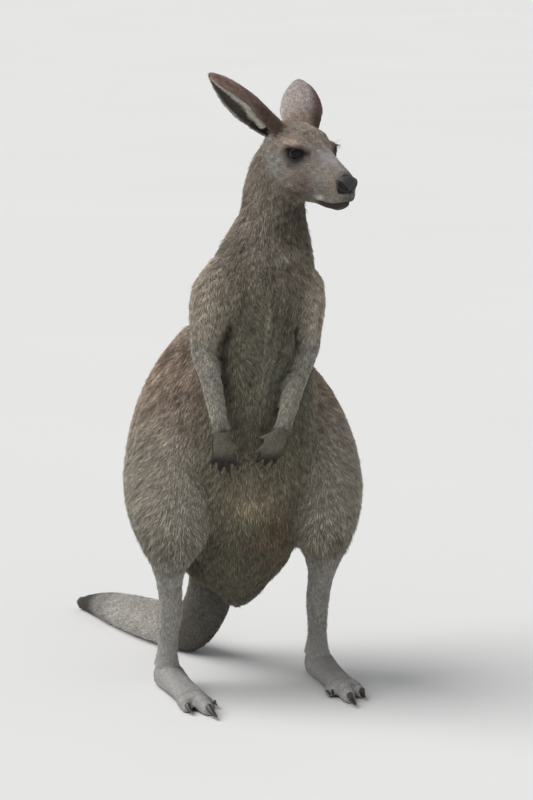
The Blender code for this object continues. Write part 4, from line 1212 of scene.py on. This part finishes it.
# Each piece of the coat: the parts of flesh that it covers and how many locks it has.
COAT_PIECES = {
    "coat_head": ("head", 33_000),
    "coat_ears": ("ear", 15_000),
    "coat_neck": ("neck", 26_000),
    "coat_chest": ("chest upper_arm", 33_000),
    "coat_belly": ("belly", 24_000),
    "coat_hips": ("hips", 12_000),
    "coat_thigh_left": ("thigh_left", 20_000),
    "coat_thigh_right": ("thigh_right", 21_000),
    "coat_arms": ("forearm hand", 21_000),
    "coat_legs": ("shin foot", 23_000),
    "coat_tail": ("tail_root tail_mid tail_end tail_tip", 18_000),
}


def coat_finish():
    """Dry soft hair: each lock's own colour, a trace of noise along it, and little gloss."""
    made, add, shade = material("fur")
    grain = add("TexNoise", Vector=add("TexCoord", "Object"), Scale=1400.0, Detail=1.0)
    shade(Base_Color=toned(add, "tint", grain, 0.8, 1.2), Roughness=0.72, Specular_IOR_Level=0.25)
    return made


def unwrapped(points, triangles):
    """A flat map of those triangles: u and v for each of their corners, from an unwrap by angle."""
    mesh = mesh_of("unwrap", points, triangles)
    sheet = linked("unwrap", mesh)
    bpy.context.view_layer.objects.active = sheet
    mesh.uv_layers.new(name="flat")
    bpy.ops.object.mode_set(mode="EDIT")
    bpy.ops.mesh.select_all(action="SELECT")
    bpy.ops.uv.smart_project(angle_limit=math.radians(70), island_margin=0.004)
    bpy.ops.object.mode_set(mode="OBJECT")
    flat = read(mesh.uv_layers["flat"].uv, "vector", 2)
    bpy.data.objects.remove(sheet)
    bpy.data.meshes.remove(mesh)
    return flat.reshape(-1, 3, 2)


def locks(name, root, out, way, size, base, shades, spot):
    """One piece of hair: a closed leaf of five points for each lock.

    Its root is under the skin. Its middle is a triangle as wide as the lock, part of its length along and
    lifted by its rise. Its tip is its whole length along, and a little lower than that lift would carry it.
    The normals that light it turn part of the way to the skin's own, and its patch of the map is small.
    """
    long, lift, wide, droop = size
    flat = np.sqrt(np.maximum(1 - lift**2, 0.1))
    heart = root + way * (HEART_ALONG * long * flat)[:, None] + out * (HEART_UP * long * lift)[:, None]
    tip = root + way * (long * flat)[:, None] + out * (long * lift * droop)[:, None]
    half = np.cross(out, way) * (wide / 2)[:, None]
    top = heart + out * (wide * HEART_THICK)[:, None]
    leaf = np.stack([root - out * ROOT_DEEP, heart - half, heart + half, top, tip], 1)
    leaf[..., 2] = np.maximum(leaf[..., 2], 0.0002)
    faces = (np.arange(len(root))[:, None, None] * 5 + LEAF).reshape(-1, 3)
    colours = (base[:, None] * shades[..., None]).reshape(-1, 3)
    mesh = tinted(name, (leaf.reshape(-1, 3), faces), colours)
    own, skins = read(mesh.vertices, "normal", 3), np.repeat(out, 5, axis=0)
    mesh.normals_split_custom_set_from_vertices(unit(own * (1 - LIT_AS_SKIN) + skins * LIT_AS_SKIN))
    flat_map(mesh, "OFBake", (spot[:, None] + LEAF_PATCH)[:, LEAF.ravel()])
    placed(mesh, fur, "coat")


# How unevenly the locks lean, how long they are, how they rise and how their colour clumps: the strength,
# size and seed of each ripple. The longest lock's length is what the others' are compared with.
LEANS = ((0.22, 0.1, 11), (0.24, 0.022, 12))
LENGTHS = ((0.16, 0.03, 13),)
RISES = ((0.25, 0.014, 14),)
CLUMPS = ((0.11, 0.05, 15), (0.29, 0.014, 16), (0.22, 0.007, 17))
LONGEST = 0.018


def ripples(points, kinds):
    """The sum of some ripples, each times its strength."""
    return sum(strength * ripple(points, size, seed) for strength, size, seed in kinds)


def grow(name, parts, count, seed):
    """One piece of the coat, over the parts named, with that many locks.

    Roots are spread evenly by a running total of each triangle's area times its density. Every lock takes
    its lie, length and colour from the skin at its root, and differs at random and with its neighbours.
    """
    rng = np.random.default_rng(seed)
    corners = triangles[on(*parts.split())[triangles].sum(1) >= 2]
    area = np.linalg.norm(crossed(points, corners), axis=1) / 2
    total = np.cumsum(area * thickly[corners].mean(1) * growth[corners].min(1))
    at = (np.arange(count) + rng.uniform(0, 1, count)) / count * total[-1]
    face = np.minimum(np.searchsorted(total, at), len(corners) - 1)
    first, second = np.sqrt(rng.uniform(0, 1, count)), rng.uniform(0, 1, count)
    share = np.stack([1 - first, first * (1 - second), first * second], 1)

    def here(field):
        return (field[corners[face]] * (share if field.ndim == 1 else share[..., None])).sum(1)

    root, out, way = here(points), unit(here(normals)), unit(here(lie))
    fine = np.clip(here(length) / LONGEST, 0.25, 1)
    lean = ripples(root, LEANS) + rng.normal(0, 0.15, count)
    lean *= np.clip(0.35 + 0.65 * fine, 0, 1)
    way = unit(way * np.cos(lean)[:, None] + np.cross(out, way) * np.sin(lean)[:, None])
    long = here(length) * np.clip(1 + ripples(root, LENGTHS) + rng.normal(0, 0.15, count), 0.5, 1.5)
    lift = here(rise) * np.clip(1 + ripples(root, RISES) + rng.normal(0, 0.25, count), 0.3, 1.9)
    wide = here(width) * rng.uniform(0.75, 1.25, count)
    size = long, np.clip(lift, 0.05, 0.8), wide, rng.uniform(0.6, 1.0, count)
    base = here(tint) * np.clip(1 + (0.25 + 1.05 * fine) * ripples(root, CLUMPS), 0.35, 1.8)[:, None]
    base = base * (1 + rng.normal(0, 0.035, count)[:, None] * np.array((1, 0, -1.0)))
    base = base * np.exp(rng.normal(0, 0.12 + 0.1 * fine, count))[:, None]
    shades = np.tile((0.62, 0.92, 0.92, 1.05, 1.48), (count, 1))
    banded = rng.uniform(0, 1, count)
    shades[banded < 0.72, 4] = 1.1
    shades[banded < 0.33, 4] = 0.66
    spot = (unwrapped(points, corners)[face] * share[..., None]).sum(1)
    locks(name, root, out, flattened(way, out), size, base, shades, spot)


EAR_HAIRS = 1500
EAR_HAIR_PALE = (0.5, 0.47, 0.41)
SWEEP_LENGTH = np.array(((0.05, 0.01), (0.25, 0.016), (0.55, 0.012), (0.8, 0.006), (0.97, 0.003)))


def build_ear_hair(name, rng):
    """Pale hair that starts along an ear's leading edge and sweeps in over the hollow and up to the tip."""
    base, way_up, opening, across, spread = ear_ways(name)
    share = 0.06 + 0.91 * rng.uniform(0, 1, EAR_HAIRS) ** 1.15
    radius, _, leading = read_off(EAR_STATIONS, share)
    swing = np.radians(leading * (1.0 - 0.22 * rng.uniform(0, 1, EAR_HAIRS) ** 1.5))
    back = np.outer(np.cos(swing), -opening) + np.outer(np.sin(swing), across)
    along = np.outer(np.cos(swing), across) + np.outer(np.sin(swing), opening)
    centre = base + np.outer(share * EAR_LENGTH, way_up) + np.outer(radius * EAR_LEAN, opening)
    root = centre + back * (radius * spread - EAR_WALL * 0.75)[:, None]
    long = read_off(SWEEP_LENGTH, share)[0] * rng.uniform(0.6, 1.2, EAR_HAIRS)
    way = along * 0.55 - across * 0.85 + way_up * 0.75 + opening * 0.1
    way = unit(way + rng.normal(0, 0.13, (EAR_HAIRS, 3)))
    wide = rng.uniform(0.0006, 0.001, EAR_HAIRS)
    lift = rng.uniform(0.02, 0.25, EAR_HAIRS)
    size = long, lift, wide, rng.uniform(0.6, 1.0, EAR_HAIRS)
    tone = np.exp(rng.normal(0, 0.16, EAR_HAIRS))[:, None]
    number = np.arange(EAR_HAIRS)
    spot = np.stack([number % 64, number // 64], 1) / 64 + 0.004
    shades = np.array((0.6, 0.95, 0.95, 1.05, 1.2))
    locks(f"hair_{name}", root, flattened(opening, way), way, size, EAR_HAIR_PALE * tone, shades, spot)


fur = coat_finish()
for number, (name, (parts, count)) in enumerate(COAT_PIECES.items()):
    grow(name, parts, count, FIRST_SEED + number)
for number, name in enumerate(EARS):
    build_ear_hair(name, np.random.default_rng(80 + number))
